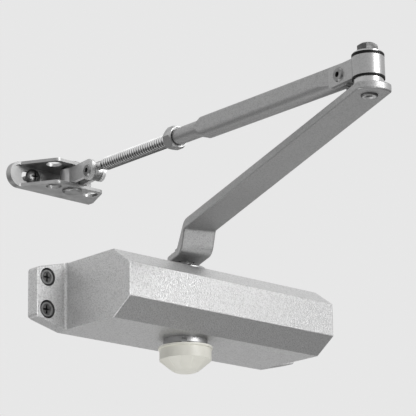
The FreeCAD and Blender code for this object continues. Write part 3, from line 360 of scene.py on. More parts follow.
def spring_tree():
    """Wire wound round Z at an even pitch, its ends cut flat at the bottom and at the top."""
    tree, given, result = tree_sockets("wound_spring", (
        ("Mean Radius", "Float"), ("Wire Radius", "Float"), ("Length", "Float"),
        ("Turns", "Float"), ("Steps per Turn", "Int"), ("Wire Steps", "Int"),
        ("Material", "Material")))
    path = tree.nodes.new("GeometryNodeCurveSpiral")
    for label, source in (("Resolution", "Steps per Turn"), ("Rotations", "Turns"),
                          ("Start Radius", "Mean Radius"), ("End Radius", "Mean Radius"),
                          ("Height", "Length")):
        tree.links.new(given[source], path.inputs[label])
    section = tree.nodes.new("GeometryNodeCurvePrimitiveCircle")
    tree.links.new(given["Wire Steps"], section.inputs["Resolution"])
    tree.links.new(given["Wire Radius"], section.inputs["Radius"])
    wire = tree.nodes.new("GeometryNodeCurveToMesh")
    wire.inputs["Fill Caps"].default_value = True
    tree.links.new(path.outputs["Curve"], wire.inputs["Curve"])
    tree.links.new(section.outputs["Curve"], wire.inputs["Profile Curve"])
    place = tree.nodes.new("GeometryNodeInputPosition")
    split = tree.nodes.new("ShaderNodeSeparateXYZ")
    tree.links.new(place.outputs["Position"], split.inputs["Vector"])
    above = reckon(tree, "MAXIMUM", split.outputs["Z"], 0.0)
    spot = tree.nodes.new("ShaderNodeCombineXYZ")
    tree.links.new(split.outputs["X"], spot.inputs["X"])
    tree.links.new(split.outputs["Y"], spot.inputs["Y"])
    tree.links.new(reckon(tree, "MINIMUM", above, given["Length"]), spot.inputs["Z"])
    grind = tree.nodes.new("GeometryNodeSetPosition")
    tree.links.new(wire.outputs["Mesh"], grind.inputs["Geometry"])
    tree.links.new(spot.outputs["Vector"], grind.inputs["Position"])
    end_tree(tree, grind.outputs["Geometry"], given["Material"], result)
    return tree


def plain_mesh(name, carrier):
    """Mesh of an object with its modifiers applied; the object itself goes."""
    ready = carrier.evaluated_get(bpy.context.evaluated_depsgraph_get())
    mesh = bpy.data.meshes.new_from_object(ready)
    bpy.data.objects.remove(carrier)
    mesh.name = name
    return mesh


def grown(name, tree, sizes, start=None):
    """Plain mesh that a tree makes from its named sizes and, where given, a starting mesh."""
    carrier = bpy.data.objects.new(name, start or bpy.data.meshes.new(name))
    bpy.context.scene.collection.objects.link(carrier)
    modifier = carrier.modifiers.new("shape", "NODES")
    modifier.node_group = tree
    for item in tree.interface.items_tree:
        if item.in_out == "INPUT" and item.name in sizes:
            modifier[item.identifier] = sizes[item.name]
    return plain_mesh(name, carrier)


def piece(name, mesh, material, body, node):
    """Finished piece at the origin that rides on a body and stands for a CAD node."""
    mesh.materials.clear()
    mesh.materials.append(material)
    obj = bpy.data.objects.new(name, mesh)
    bpy.context.scene.collection.objects.link(obj)
    mesh.shade_smooth()
    mesh.set_sharp_from_angle(angle=SHARP_ANGLE)
    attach(obj, body)
    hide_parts(node)
    return obj


def joint(name):
    """A joint of the record by name."""
    return [item for item in frame["record"]["behaviour"]["joints"] if item["name"] == name][0]


spring_wire = plated_steel("spring_wire", WIRE_GREY, WIRE_BLUE, roughness=0.38,
                           marks=MARKS_ACROSS_X)
spring_low, spring_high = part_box("main_spring")
spring_middle = (spring_low + spring_high) / 2
spring_length = spring_high.x - spring_low.x
spring_mesh = grown("closing_spring", spring_tree(), {
    "Mean Radius": (spring_high.y - spring_low.y) / 2 - WIRE_R, "Wire Radius": WIRE_R,
    "Length": spring_length - SPRING_PLAY, "Turns": SPRING_TURNS,
    "Steps per Turn": SPRING_STEPS_PER_TURN, "Wire Steps": WIRE_STEPS, "Material": spring_wire})
spring_start = Vector((spring_low.x + SPRING_PLAY, spring_middle.y, spring_middle.z))
spring_mesh.transform(Matrix.Translation(spring_start) @ Matrix.Rotation(math.pi / 2, 4, "Y"))
closing_spring = piece("closing_spring", spring_mesh, spring_wire, "housing",
                       "main_spring")
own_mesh(closing_spring)


# Piston with its one-way valve: a ground steel cylinder with a window and rack teeth inside.
# A steel ball behind a small brass ring lets oil through in one direction only.
PISTON_STEEL = (0.56, 0.56, 0.56)
PISTON_STEEL_DULL = (0.44, 0.44, 0.44)
BALL_STEEL = (0.66, 0.66, 0.66)
BALL_STEEL_DULL = (0.58, 0.58, 0.58)
VALVE_BRASS = (0.68, 0.53, 0.25)
VALVE_BRASS_DULL = (0.52, 0.39, 0.17)
FINE_MARKS_ACROSS_X = (8.0, 1.0, 1.0)
dress(plated_steel("piston_ground_steel", PISTON_STEEL, PISTON_STEEL_DULL, roughness=0.24,
                   marks=FINE_MARKS_ACROSS_X), "piston")
dress(plated_steel("ball_steel", BALL_STEEL, BALL_STEEL_DULL, roughness=0.14), "check_valve_ball")
turned_brass = plated_steel("turned_brass", VALVE_BRASS, VALVE_BRASS_DULL, roughness=0.3,
                            marks=FINE_MARKS_ACROSS_X)
dress(turned_brass, "check_valve_retainer")


# Speed valves: two slotted brass needles in the far end face, one for closing and one for latching.
# Turned from bar, so fine rings run round their axis, and screwed in against a rubber ring.
dress(turned_brass, "closing_speed_valve", "latching_speed_valve")


# Fixing screws: four countersunk steel screws with a cross recess, two in each ear.
# Their blackened heads are dished, carry a painted highlight ring and are sunk under the ear face,
# and their rolled threads start at the flat back of the ears.
SCREW_BLACK = (0.115, 0.115, 0.115)
SCREW_BLACK_WORN = (0.20, 0.20, 0.20)
# Painted highlight ring on the heads of the fixing screws.
SCREW_PAINTED_HIGHLIGHT = (0.29, 0.29, 0.29)
SCREW_HIGHLIGHT_R = 0.0037
SCREW_HIGHLIGHT_HALF = 0.0005
SCREW_HIGHLIGHT_BEHIND = -0.0068
SCREW_HEAD_R = 0.0045
SCREW_HEAD_LAND = 0.0003
SCREW_HEAD_EDGE = 0.00025
SCREW_DISH_R = 0.0029
SCREW_DISH = 0.0004
SCREW_LAP = 0.0003
SCREW_NECK_R = 0.0020
SCREW_PITCH = 0.0008
SCREW_THREAD_DEPTH = 0.00042
SCREW_STEPS_AROUND = 24
SCREW_STEPS_ALONG = 50
RECESS_REACH = 0.0026
RECESS_HALF_WIDTH = 0.00055
RECESS_DEPTH = 0.0026
RECESS_TAPER = 0.35
MARKS_ACROSS_Y = (1.0, 6.0, 1.0)
THREAD_ROOT = "thread_root"
THREAD_ROOT_FLAT = 0.06
THREAD_CREST_FLAT = 0.44
THREAD_SEAM = 0.000002
HALF_TURN = 0.5
ROUND_STEPS = 48
ALONG_Y = Matrix.Rotation(-math.pi / 2, 4, "X")


def thread_tree():
    """Rolled thread on a closed bar along Z: a sheet rolled up, its radius following a helix."""
    tree, given, result = tree_sockets("rolled_thread", (
        ("Radius", "Float"), ("Depth", "Float"), ("Pitch", "Float"), ("Length", "Float"),
        ("Steps Around", "Int"), ("Steps Along", "Int"), ("Material", "Material")))
    sheet = tree.nodes.new("GeometryNodeMeshGrid")
    sheet.inputs["Size X"].default_value = 1.0
    sheet.inputs["Size Y"].default_value = 1.0
    tree.links.new(reckon(tree, "ADD", given["Steps Around"], 1.0), sheet.inputs["Vertices X"])
    tree.links.new(given["Steps Along"], sheet.inputs["Vertices Y"])
    across = tree.nodes.new("ShaderNodeSeparateXYZ")
    tree.links.new(sheet.outputs["UV Map"], across.inputs["Vector"])
    along = reckon(tree, "MULTIPLY", across.outputs["Y"], given["Length"])
    turns = reckon(tree, "DIVIDE", along, given["Pitch"])
    phase = reckon(tree, "FRACT", reckon(tree, "SUBTRACT", turns, across.outputs["X"]))
    crest = tree.nodes.new("ShaderNodeMapRange")
    crest.interpolation_type = "SMOOTHSTEP"
    crest.inputs["From Min"].default_value = THREAD_ROOT_FLAT
    crest.inputs["From Max"].default_value = THREAD_CREST_FLAT
    tree.links.new(reckon(tree, "PINGPONG", phase, HALF_TURN), crest.inputs["Value"])
    to_end = reckon(tree, "MINIMUM", along, reckon(tree, "SUBTRACT", given["Length"], along))
    fade = reckon(tree, "MINIMUM", reckon(tree, "DIVIDE", to_end, given["Pitch"]), 1.0)
    lift = reckon(tree, "MULTIPLY", crest.outputs["Result"], fade)
    root = reckon(tree, "SUBTRACT", given["Radius"], given["Depth"])
    radius = reckon(tree, "ADD", root, reckon(tree, "MULTIPLY", given["Depth"], lift))
    angle = reckon(tree, "MULTIPLY", across.outputs["X"], 2 * math.pi)
    spot = tree.nodes.new("ShaderNodeCombineXYZ")
    for axis, share in (("X", "COSINE"), ("Y", "SINE")):
        tree.links.new(reckon(tree, "MULTIPLY", radius, reckon(tree, share, angle)),
                       spot.inputs[axis])
    tree.links.new(along, spot.inputs["Z"])
    mark = tree.nodes.new("GeometryNodeStoreNamedAttribute")
    mark.data_type = "FLOAT"
    mark.domain = "POINT"
    mark.inputs["Name"].default_value = THREAD_ROOT
    tree.links.new(sheet.outputs["Mesh"], mark.inputs["Geometry"])
    tree.links.new(reckon(tree, "SUBTRACT", 1.0, lift), mark.inputs["Value"])
    roll = tree.nodes.new("GeometryNodeSetPosition")
    tree.links.new(mark.outputs["Geometry"], roll.inputs["Geometry"])
    tree.links.new(spot.outputs["Vector"], roll.inputs["Position"])
    disc = tree.nodes.new("GeometryNodeMeshCircle")
    disc.fill_type = "NGON"
    tree.links.new(given["Steps Around"], disc.inputs["Vertices"])
    tree.links.new(root, disc.inputs["Radius"])
    bottom = tree.nodes.new("GeometryNodeFlipFaces")
    tree.links.new(disc.outputs["Mesh"], bottom.inputs["Mesh"])
    top = tree.nodes.new("GeometryNodeTransform")
    tree.links.new(disc.outputs["Mesh"], top.inputs["Geometry"])
    height = tree.nodes.new("ShaderNodeCombineXYZ")
    tree.links.new(given["Length"], height.inputs["Z"])
    tree.links.new(height.outputs["Vector"], top.inputs["Translation"])
    joined = tree.nodes.new("GeometryNodeJoinGeometry")
    for part in (roll.outputs["Geometry"], bottom.outputs["Mesh"], top.outputs["Geometry"]):
        tree.links.new(part, joined.inputs["Geometry"])
    merge = tree.nodes.new("GeometryNodeMergeByDistance")
    merge.inputs["Distance"].default_value = THREAD_SEAM
    tree.links.new(joined.outputs["Geometry"], merge.inputs["Geometry"])
    end_tree(tree, merge.outputs["Geometry"], given["Material"], result)
    return tree


def rows_tree():
    """Copies of one fastener in rows along X and Z, centred on the origin."""
    tree, given, result = tree_sockets("fastener_rows", (
        ("Fastener", "Geometry"), ("Spacing Along", "Float"), ("Spacing Up", "Float"),
        ("Count Along", "Int"), ("Count Up", "Int"), ("Material", "Material")))
    shape = given["Fastener"]
    for label, axis in (("Along", "X"), ("Up", "Z")):
        spacing = given["Spacing " + label]
        count = given["Count " + label]
        row = tree.nodes.new("GeometryNodeMeshLine")
        step = tree.nodes.new("ShaderNodeCombineXYZ")
        start = tree.nodes.new("ShaderNodeCombineXYZ")
        first = reckon(tree, "DIVIDE", reckon(tree, "SUBTRACT", 1.0, count), 2.0)
        tree.links.new(spacing, step.inputs[axis])
        tree.links.new(reckon(tree, "MULTIPLY", first, spacing), start.inputs[axis])
        tree.links.new(count, row.inputs["Count"])
        tree.links.new(start.outputs["Vector"], row.inputs["Start Location"])
        tree.links.new(step.outputs["Vector"], row.inputs["Offset"])
        copies = tree.nodes.new("GeometryNodeInstanceOnPoints")
        tree.links.new(row.outputs["Mesh"], copies.inputs["Points"])
        tree.links.new(shape, copies.inputs["Instance"])
        shape = copies.outputs["Instances"]
    end_tree(tree, shape, given["Material"], result)
    return tree


def closed_mesh(name, bm):
    """Mesh of a closed shell, its faces turned outwards."""
    bmesh.ops.recalc_face_normals(bm, faces=bm.faces)
    mesh = bpy.data.meshes.new(name)
    bm.to_mesh(mesh)
    bm.free()
    return mesh


def lathe(name, profile):
    """Closed solid of revolution about Z from (radius, height) points, poles at both ends."""
    bm = bmesh.new()
    rings = []
    for radius, height in profile:
        if radius == 0:
            rings.append([bm.verts.new((0, 0, height))])
            continue
        ring = []
        for step in range(ROUND_STEPS):
            angle = 2 * math.pi * step / ROUND_STEPS
            ring.append(bm.verts.new((radius * math.cos(angle), radius * math.sin(angle), height)))
        rings.append(ring)
    for low, high in zip(rings, rings[1:]):
        for step in range(ROUND_STEPS):
            after = (step + 1) % ROUND_STEPS
            corners = [low[step % len(low)], low[after % len(low)],
                       high[after % len(high)], high[step % len(high)]]
            bm.faces.new(list(dict.fromkeys(corners)))
    return closed_mesh(name, bm)


def cross_punch(top):
    """Tapered cross that sinks a driver recess from the given height downwards."""
    bm = bmesh.new()
    loops = []
    for height, scale in ((top + RECESS_DEPTH, RECESS_TAPER),
                          (top - RECESS_DEPTH, 1 + (1 - RECESS_TAPER))):
        reach = RECESS_REACH * scale
        half = RECESS_HALF_WIDTH * (1 + scale) / 2
        loop = []
        for quarter in range(4):
            turn = Matrix.Rotation(quarter * math.pi / 2, 4, "Z")
            for x, y in ((reach, -half), (reach, half), (half, half)):
                loop.append(bm.verts.new(turn @ Vector((x, y, height))))
        bm.faces.new(loop)
        loops.append(loop)
    for step in range(len(loops[0])):
        after = (step + 1) % len(loops[0])
        bm.faces.new((loops[0][step], loops[0][after], loops[1][after], loops[1][step]))
    return closed_mesh("cross_punch", bm)


def combine(name, first, second, operation):
    """Mesh that is the union or difference of two closed meshes."""
    body = bpy.data.objects.new(name, first)
    tool = bpy.data.objects.new(name + "_tool", second)
    for obj in (body, tool):
        bpy.context.scene.collection.objects.link(obj)
    modifier = body.modifiers.new("combine", "BOOLEAN")
    modifier.operation = operation
    modifier.solver = "EXACT"
    modifier.object = tool
    mesh = plain_mesh(name, body)
    bpy.data.objects.remove(tool)
    return mesh


def one_mesh(name, meshes):
    """Several closed meshes as one."""
    bm = bmesh.new()
    for mesh in meshes:
        bm.from_mesh(mesh)
    joined = bpy.data.meshes.new(name)
    bm.to_mesh(joined)
    bm.free()
    return joined


def paint_head_highlight(material):
    """Painted highlight: a brighter ring on the screw heads."""
    tree = material.node_tree
    ring = reckon(tree, "COMPARE", from_screw_axis(tree), SCREW_HIGHLIGHT_R, SCREW_HIGHLIGHT_HALF)
    front = reckon(tree, "LESS_THAN", own_place(tree)["Y"], SCREW_HIGHLIGHT_BEHIND)
    repaint(material, reckon(tree, "MULTIPLY", ring, front), SCREW_PAINTED_HIGHLIGHT)


rolled_thread = thread_tree()
fastener_rows = rows_tree()
screw_black = plated_steel("screw_black", SCREW_BLACK_WORN, SCREW_BLACK, roughness=0.30,
                           marks=MARKS_ACROSS_Y, clouds_per_metre=400.0)
highlit_screw_black = screw_black.copy()
highlit_screw_black.name = "door_screw_black"
# Paint the highlight ring on the screw heads.
paint_head_highlight(highlit_screw_black)

screw_low, screw_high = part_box("door_screws")
head_top = screw_low.y
dish_floor = head_top + SCREW_DISH
rim = head_top + SCREW_HEAD_LAND
cone_end = rim + SCREW_HEAD_R - SCREW_NECK_R
head = lathe("door_screw_head", [
    (0, dish_floor), (SCREW_DISH_R, dish_floor), (SCREW_DISH_R + SCREW_DISH, head_top),
    (SCREW_HEAD_R - SCREW_HEAD_EDGE, head_top), (SCREW_HEAD_R, head_top + SCREW_HEAD_EDGE),
    (SCREW_HEAD_R, rim), (SCREW_NECK_R, cone_end), (SCREW_NECK_R, SCREW_LAP), (0, SCREW_LAP)])
head = combine("door_screw_head", head, cross_punch(dish_floor), "DIFFERENCE")
thread = grown("door_screw_thread", rolled_thread, {
    "Radius": fixing_sizes["stud_r_mm"] / MM_PER_METRE, "Depth": SCREW_THREAD_DEPTH,
    "Pitch": SCREW_PITCH, "Length": screw_high.y, "Steps Around": SCREW_STEPS_AROUND,
    "Steps Along": SCREW_STEPS_ALONG, "Material": highlit_screw_black})
screw = one_mesh("door_screw", (head, thread))
screw.transform(ALONG_Y)
screws = grown("door_screw_set", fastener_rows, {
    "Spacing Along": fixing_sizes["spacing_x_mm"] / MM_PER_METRE,
    "Spacing Up": fixing_sizes["spacing_y_mm"] / MM_PER_METRE,
    "Count Along": 2, "Count Up": 2, "Material": highlit_screw_black}, screw)
piece("door_screw_set", screws, highlit_screw_black, "housing", "door_screws")


# Spindle: a hardened steel shaft with the pinion cut in its middle and a square at each end.
# Journals and squares are ground, so they are bright with fine rings.
SPINDLE_STEEL = (0.60, 0.60, 0.60)
SPINDLE_STEEL_DULL = (0.48, 0.48, 0.48)
dress(plated_steel("spindle_ground_steel", SPINDLE_STEEL, SPINDLE_STEEL_DULL, roughness=0.22),
      "pinion_shaft")


# Spindle cap: an ivory moulded plastic cap with a thin rim and a faceted end.
# It is pushed on the unused lower square and hides it.
CAP_IVORY = (0.90, 0.89, 0.81)
CAP_IVORY_SHADE = (0.87, 0.86, 0.78)
dress(moulded("cap_ivory_plastic", CAP_IVORY, CAP_IVORY_SHADE, roughness=0.40,
              skin_height=0.00001), "spindle_cap")


# Main arm: a forged flat steel bar, cranked up from the spindle and thinner towards the elbow.
# It is sprayed in a darker and smoother silver than the body.
ARM_SILVER = (0.41, 0.41, 0.41)
ARM_GRAIN = (0.33, 0.33, 0.33)
dress(sparkle_paint("arm_silver_paint", ARM_SILVER, ARM_GRAIN, roughness=0.45, metallic=0.9,
                    flakes_per_metre=2200.0, sand_per_metre=1300.0, sand_height=0.00004),
      "main_arm")


# Arm fixing: a zinc-plated washer and a black socket-headed screw down the spindle.
# They clamp the foot of the arm on the upper square.
WASHER_ZINC = (0.52, 0.52, 0.52)
WASHER_ZINC_DULL = (0.40, 0.40, 0.40)
dress(plated_steel("arm_washer_zinc", WASHER_ZINC, WASHER_ZINC_DULL, roughness=0.32), "arm_washer")
dress(screw_black, "arm_screw")


# Elbow pivot: a hexagon-headed bolt riveted over under the arm, with a collar and a thin washer.
# The bolt is dark phosphated steel with a painted highlight ring on its hammered end; collar and
# washer are bright zinc.
BOLT_GREY = (0.09, 0.09, 0.09)
BOLT_GREY_WORN = (0.15, 0.15, 0.15)
COLLAR_ZINC = (0.58, 0.58, 0.58)
COLLAR_ZINC_DULL = (0.46, 0.46, 0.46)
# Painted highlight colour for the hammered end of the bolt.
BOLT_PAINTED_HIGHLIGHT = (0.62, 0.62, 0.62)
BOLT_HIGHLIGHT_R = 0.0025
BOLT_HIGHLIGHT_HALF = 0.0009


def paint_bolt_highlight(material):
    """Painted highlight: a bright ring on the hammered end of the bolt, under the arm."""
    tree = material.node_tree
    place = own_place(tree)
    offsets = [reckon(tree, "SUBTRACT", place[axis], middle)
               for axis, middle in zip("XY", joint("elbow_turn")["pos_m"])]
    ring = reckon(tree, "COMPARE", away(tree, *offsets), BOLT_HIGHLIGHT_R, BOLT_HIGHLIGHT_HALF)
    under_arm = reckon(tree, "LESS_THAN", place["Z"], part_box("main_arm")[1][2])
    repaint(material, reckon(tree, "MULTIPLY", ring, under_arm), BOLT_PAINTED_HIGHLIGHT)


bolt_phosphate = plated_steel("bolt_phosphate", BOLT_GREY_WORN, BOLT_GREY, roughness=0.44,
                              clouds_per_metre=300.0)
# Paint the highlight ring on the bolt's lower end.
paint_bolt_highlight(bolt_phosphate)
dress(bolt_phosphate, "elbow_bolt")
dress(plated_steel("collar_zinc", COLLAR_ZINC, COLLAR_ZINC_DULL, roughness=0.28),
      "elbow_collar", "elbow_washer")


# Elbow socket: a forged steel hub with two fork ears for the forearm, turned round its bore.
# Satin silver paint, smoother than the body's, so the round hub carries a clear highlight.
SOCKET_SILVER = (0.43, 0.43, 0.43)
SOCKET_GRAIN = (0.36, 0.36, 0.36)
dress(sparkle_paint("socket_silver_paint", SOCKET_SILVER, SOCKET_GRAIN, roughness=0.38,
                    metallic=0.9, flakes_per_metre=2800.0, sand_per_metre=1500.0,
                    sand_height=0.000008), "elbow_socket")


# Elbow wear washers: two black nylon discs, above and below the socket.
# Moulded and plain, they let the socket turn on the collar and under the bolt head.
NYLON_BLACK = (0.010, 0.010, 0.010)
NYLON_SHEEN = (0.016, 0.016, 0.016)
NYLON_SPECULAR = 0.2
black_nylon = moulded("black_nylon", NYLON_SHEEN, NYLON_BLACK, roughness=0.6, skin_height=0.00001)
nylon_shader = black_nylon.node_tree.nodes["Principled BSDF"]
nylon_shader.inputs["Specular IOR Level"].default_value = NYLON_SPECULAR
dress(black_nylon, "elbow_lower_washer", "elbow_upper_washer")


# Hollow rivets: one joins the forearm to the fork, the other the strap to the rod eye.
# Formed steel with a dull zinc coat that has greyed on the rolled heads.
RIVET_ZINC = (0.30, 0.30, 0.30)
RIVET_ZINC_DULL = (0.20, 0.20, 0.20)
MARKS_ANY_WAY = (1.0, 1.0, 1.0)
dress(plated_steel("rivet_zinc", RIVET_ZINC, RIVET_ZINC_DULL, roughness=0.36, marks=MARKS_ANY_WAY,
                   clouds_per_metre=500.0), "fork_rivet", "rod_rivet")


# Forearm tube: a steel tube pressed flat on its sides, pinched at the fork and swaged at the nut.
# It has the same kind of silver paint as the main arm.
FOREARM_SILVER = (0.42, 0.42, 0.42)
FOREARM_GRAIN = (0.33, 0.33, 0.33)
dress(sparkle_paint("forearm_silver_paint", FOREARM_SILVER, FOREARM_GRAIN, roughness=0.44,
                    metallic=0.9, flakes_per_metre=2200.0, sand_per_metre=1300.0,
                    sand_height=0.00003), "forearm_tube")


# Lock nut: a hexagon steel nut on the rod that is tightened against the tube's neck.
# Dull zinc plate in uneven clouds.
NUT_ZINC = (0.50, 0.50, 0.50)
NUT_ZINC_DULL = (0.36, 0.36, 0.36)
dress(plated_steel("nut_zinc", NUT_ZINC, NUT_ZINC_DULL, roughness=0.42, marks=MARKS_ANY_WAY,
                   clouds_per_metre=260.0), "lock_nut")


# Adjusting rod: a steel bar with a coarse rolled thread, a thin neck and a flat eye at its end.
# It is zinc plated and screwed into the forearm tube to set the arm's length,
# with painted shade in the roots of its thread and along its underside.
ROD_ZINC = (0.86, 0.86, 0.86)
ROD_ZINC_DULL = (0.74, 0.74, 0.74)
# Painted shade colour for the thread roots and the underside of the rod.
ROD_PAINTED_SHADE = (0.05, 0.05, 0.05)
ROD_UNDERSIDE_SHADE = 0.8
ROD_ROOT_SHADE = 0.6
ROD_R = 0.00385
ROD_PITCH = 0.0023
ROD_THREAD_DEPTH = 0.00075
ROD_THREAD_START = -0.124
ROD_THREAD_END = -0.0110
ROD_NECK_R = 0.0022
ROD_STEPS_AROUND = 48
ROD_STEPS_ALONG = 640
EYE_DROP = 0.0022
EYE_R = 0.0050
EYE_HOLE_R = 0.00255
EYE_THICK = 0.0046


def disc_across(name, radius, half_thick):
    """Round disc on the X axis of the rod, at the height of the eye."""
    mesh = lathe(name, [(0, -half_thick), (radius, -half_thick), (radius, half_thick),
                        (0, half_thick)])
    mesh.transform(Matrix.Translation((0, 0, -EYE_DROP)) @ Matrix.Rotation(math.pi / 2, 4, "Y"))
    return mesh


def paint_thread_shade(material):
    """Painted shade in the roots of a thread, stronger on the underside, and along the underside of
    the rod.
    """
    tree = material.node_tree
    root = tree.nodes.new("ShaderNodeAttribute")
    root.attribute_name = THREAD_ROOT
    surface = tree.nodes.new("ShaderNodeNewGeometry")
    facing = tree.nodes.new("ShaderNodeSeparateXYZ")
    tree.links.new(surface.outputs["Normal"], facing.inputs["Vector"])
    underside_shade = span(tree, facing.outputs["Z"], ROD_UNDERSIDE_SHADE, 0.0, low_at=-0.8, high_at=-0.1)
    depth = span(tree, facing.outputs["Z"], 1.0, ROD_ROOT_SHADE, low_at=-0.3, high_at=0.5)
    groove = span(tree, root.outputs["Fac"], 0.0, 1.0, low_at=0.35, high_at=0.75)
    root_shade = reckon(tree, "MULTIPLY", groove, depth)
    repaint(material, reckon(tree, "MAXIMUM", root_shade, underside_shade), ROD_PAINTED_SHADE)


rod_zinc = plated_steel("rod_zinc", ROD_ZINC, ROD_ZINC_DULL, roughness=0.30)
# Paint shade on the rod's underside and in its thread roots.
paint_thread_shade(rod_zinc)
rod_eye_at = Vector(joint("rod_tilt")["pos_m"])
rod_along = Vector(joint("rod_adjust")["axis"])
rod_across = Vector(joint("rod_tilt")["axis"])
rod_up = rod_across.cross(rod_along)
rod_turn = Matrix((rod_across, rod_along, rod_up)).transposed().to_4x4()
rod_thread = grown("rod_thread", rolled_thread, {
    "Radius": ROD_R, "Depth": ROD_THREAD_DEPTH, "Pitch": ROD_PITCH,
    "Length": ROD_THREAD_END - ROD_THREAD_START, "Steps Around": ROD_STEPS_AROUND,
    "Steps Along": ROD_STEPS_ALONG, "Material": rod_zinc})
rod_thread.transform(Matrix.Translation((0, ROD_THREAD_START, 0)) @ ALONG_Y)
neck_start = ROD_THREAD_END - ROD_NECK_R
neck = lathe("rod_neck", [(0, neck_start), (ROD_NECK_R, neck_start), (ROD_NECK_R, 0), (0, 0)])
neck.transform(ALONG_Y)
eye = combine("rod_eye", neck, disc_across("rod_eye_disc", EYE_R, EYE_THICK / 2), "UNION")
eye = combine("rod_eye", eye, disc_across("rod_eye_hole", EYE_HOLE_R, EYE_THICK), "DIFFERENCE")
rod = one_mesh("threaded_rod", (rod_thread, eye))
rod.transform(Matrix.Translation(rod_eye_at) @ rod_turn @ Matrix.Translation((0, 0, EYE_DROP)))
piece("threaded_rod", rod, rod_zinc, "rod", "adjusting_rod")


# Shoe knuckle: a steel strap folded round the shoe pin, its two ends riveted to the rod eye.
# Pressed and zinc plated, with a soft satin grain.
STRAP_ZINC = (0.68, 0.68, 0.68)
STRAP_ZINC_DULL = (0.54, 0.54, 0.54)
dress(plated_steel("strap_zinc", STRAP_ZINC, STRAP_ZINC_DULL, roughness=0.50), "shoe_knuckle")


# Shoe: a deep-drawn steel pan with a screw slot and two flanges that hold the pin.
# Zinc plated and satin, darker than the strap.
SHOE_ZINC = (0.44, 0.44, 0.44)
SHOE_ZINC_DULL = (0.36, 0.36, 0.36)
dress(plated_steel("shoe_zinc", SHOE_ZINC, SHOE_ZINC_DULL, roughness=0.42, marks=MARKS_ACROSS_Y),
      "shoe_bracket")


# Shoe pin: a headed steel pin through both flanges and the loop of the strap.
# Turned, with a dull grey zinc coat.
PIN_ZINC = (0.34, 0.34, 0.34)
PIN_ZINC_DULL = (0.25, 0.25, 0.25)
dress(plated_steel("pin_zinc", PIN_ZINC, PIN_ZINC_DULL, roughness=0.40), "shoe_pin")


# Shoe screws: two pan-headed steel screws with a cross recess, through the base of the shoe.
# Same blackened steel as the fixing screws, with a coarser rolled thread.
PAN_R = 0.0048
PAN_CROWN = 0.0030
PAN_RIM = 0.0012
PAN_NECK_R = 0.0019
PAN_SEAT = -0.0024
PAN_STEPS = 6
PAN_PITCH = 0.0016
PAN_THREAD_DEPTH = 0.0005
PAN_STEPS_ALONG = 60
shoe_place, shoe_sizes = mount("shoe_fixing")
pan_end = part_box("shoe_screws")[1][1] - shoe_place.y
pan_top = PAN_SEAT - PAN_CROWN
pan_profile = [(0, pan_top)]
for step in range(1, PAN_STEPS + 1):
    angle = math.pi / 2 * step / PAN_STEPS
    crown = (PAN_CROWN - PAN_RIM) * math.cos(angle)
    pan_profile.append((PAN_R * math.sin(angle), PAN_SEAT - PAN_RIM - crown))
pan_profile += [(PAN_R, PAN_SEAT), (PAN_NECK_R, PAN_SEAT), (PAN_NECK_R, SCREW_LAP), (0, SCREW_LAP)]
pan_head = lathe("shoe_screw_head", pan_profile)
pan_head = combine("shoe_screw_head", pan_head, cross_punch(pan_top), "DIFFERENCE")
pan_thread = grown("shoe_screw_thread", rolled_thread, {
    "Radius": shoe_sizes["stud_r_mm"] / MM_PER_METRE, "Depth": PAN_THREAD_DEPTH,
    "Pitch": PAN_PITCH, "Length": pan_end, "Steps Around": SCREW_STEPS_AROUND,
    "Steps Along": PAN_STEPS_ALONG, "Material": screw_black})
pan_screw = one_mesh("shoe_screw", (pan_head, pan_thread))
pan_screw.transform(ALONG_Y)
pan_screws = grown("shoe_screw_pair", fastener_rows, {
    "Spacing Along": shoe_sizes["pcd_mm"] / MM_PER_METRE, "Spacing Up": 0.0,
    "Count Along": 2, "Count Up": 1, "Material": screw_black}, pan_screw)
pan_screws.transform(Matrix.Translation(shoe_place))
piece("shoe_screw_pair", pan_screws, screw_black, "shoe", "shoe_screws")


# Studio: a plain pale floor well under the closer, a pale world, four soft lamps and a soft sun.
# The camera stands low on the left of the closer and looks up at it.
PALE = (0.80, 0.80, 0.80)
PALE_CLOUD = (0.83, 0.83, 0.83)
FLOOR_Z = -2.0
FLOOR_EDGE = 30.0
FLOOR_ROUGHNESS = 0.8
FLOOR_CLOUDS_PER_METRE = 3.0
FILL_WHITE = (1.0, 1.0, 1.0)
FILL_STRENGTH = 0.05
LAMP_TARGET = Vector((-0.03, -0.12, 0.02))
TOP_WASH = 0.42
TOP_WASH_SOFTNESS = math.radians(60)
CAMERA_LENS = 190.4
CAMERA_SENSOR = 36.0
CAMERA_REACH = 20.0
CAMERA_PLACE = (-0.8576, -0.96781, -0.30907)
CAMERA_RIGHT = (0.73668, -0.67608, -0.01499)
CAMERA_UP = (-0.17958, -0.21696, 0.95952)
CAMERA_BACK = (-0.65196, -0.70417, -0.28124)


def place_in_scene(name, data):
    """New object in the scene, at the origin."""
    obj = bpy.data.objects.new(name, data)
    bpy.context.scene.collection.objects.link(obj)
    return obj


def lamp(name, *, place, size, power):
    """Square soft lamp at a place, turned to the middle of the closer."""
    data = bpy.data.lights.new(name, "AREA")
    data.energy = power
    data.size = size
    obj = place_in_scene(name, data)
    obj.location = place
    obj.rotation_euler = (LAMP_TARGET - Vector(place)).to_track_quat("-Z", "Y").to_euler()


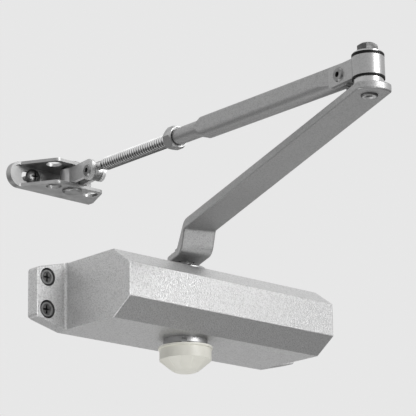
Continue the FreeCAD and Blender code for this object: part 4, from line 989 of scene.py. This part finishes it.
floor_mesh = bpy.data.meshes.new("floor")
corners = [(-FLOOR_EDGE, -FLOOR_EDGE, FLOOR_Z), (FLOOR_EDGE, -FLOOR_EDGE, FLOOR_Z),
           (FLOOR_EDGE, FLOOR_EDGE, FLOOR_Z), (-FLOOR_EDGE, FLOOR_EDGE, FLOOR_Z)]
floor_mesh.from_pydata(corners, [], [(0, 1, 2, 3)])
floor_paint, floor_tree, floor_shader = start_finish("floor_paint")
floor_clouds = noise(floor_tree, FLOOR_CLOUDS_PER_METRE)
floor_shader.inputs["Roughness"].default_value = FLOOR_ROUGHNESS
floor_tree.links.new(tint(floor_tree, floor_clouds, PALE, PALE_CLOUD),
                     floor_shader.inputs["Base Color"])
floor_mesh.materials.append(floor_paint)
floor = place_in_scene("floor", floor_mesh)

world = bpy.data.worlds.new("studio")
bpy.context.scene.world = world
world.use_nodes = True
sky = world.node_tree
sky.nodes.clear()
ray = sky.nodes.new("ShaderNodeLightPath")
seen = sky.nodes.new("ShaderNodeBackground")
seen.inputs["Color"].default_value = (*PALE, 1.0)
fill = sky.nodes.new("ShaderNodeBackground")
fill.inputs["Color"].default_value = (*FILL_WHITE, 1.0)
fill.inputs["Strength"].default_value = FILL_STRENGTH
choose = sky.nodes.new("ShaderNodeMixShader")
sky_out = sky.nodes.new("ShaderNodeOutputWorld")
mirrored = reckon(sky, "MAXIMUM", ray.outputs["Is Camera Ray"], ray.outputs["Is Glossy Ray"])
sky.links.new(reckon(sky, "MAXIMUM", mirrored, ray.outputs["Is Transmission Ray"]),
              choose.inputs["Fac"])
sky.links.new(fill.outputs["Background"], choose.inputs[1])
sky.links.new(seen.outputs["Background"], choose.inputs[2])
sky.links.new(choose.outputs["Shader"], sky_out.inputs["Surface"])

lamp("front_key", place=(0.20, -1.60, 0.45), size=0.6, power=12.5)
lamp("low_front", place=(-0.10, -1.15, -0.85), size=0.8, power=3.8)
lamp("low_left", place=(-0.50, 0.22, -0.98), size=0.8, power=5.4)
lamp("low_right", place=(0.75, 0.70, -0.60), size=0.8, power=1.05)
top_wash = bpy.data.lights.new("top_wash", "SUN")
top_wash.energy = TOP_WASH
top_wash.angle = TOP_WASH_SOFTNESS
place_in_scene("top_wash", top_wash)

camera_data = bpy.data.cameras.new("camera")
camera_data.sensor_fit = "HORIZONTAL"
camera_data.sensor_width = CAMERA_SENSOR
camera_data.lens = CAMERA_LENS
camera_data.clip_end = CAMERA_REACH
camera = place_in_scene("camera", camera_data)
view = Matrix((CAMERA_RIGHT, CAMERA_UP, CAMERA_BACK)).transposed().to_4x4()
view.translation = CAMERA_PLACE
camera.matrix_world = view
bpy.context.scene.camera = camera
bpy.context.scene.view_settings.view_transform = "Standard"
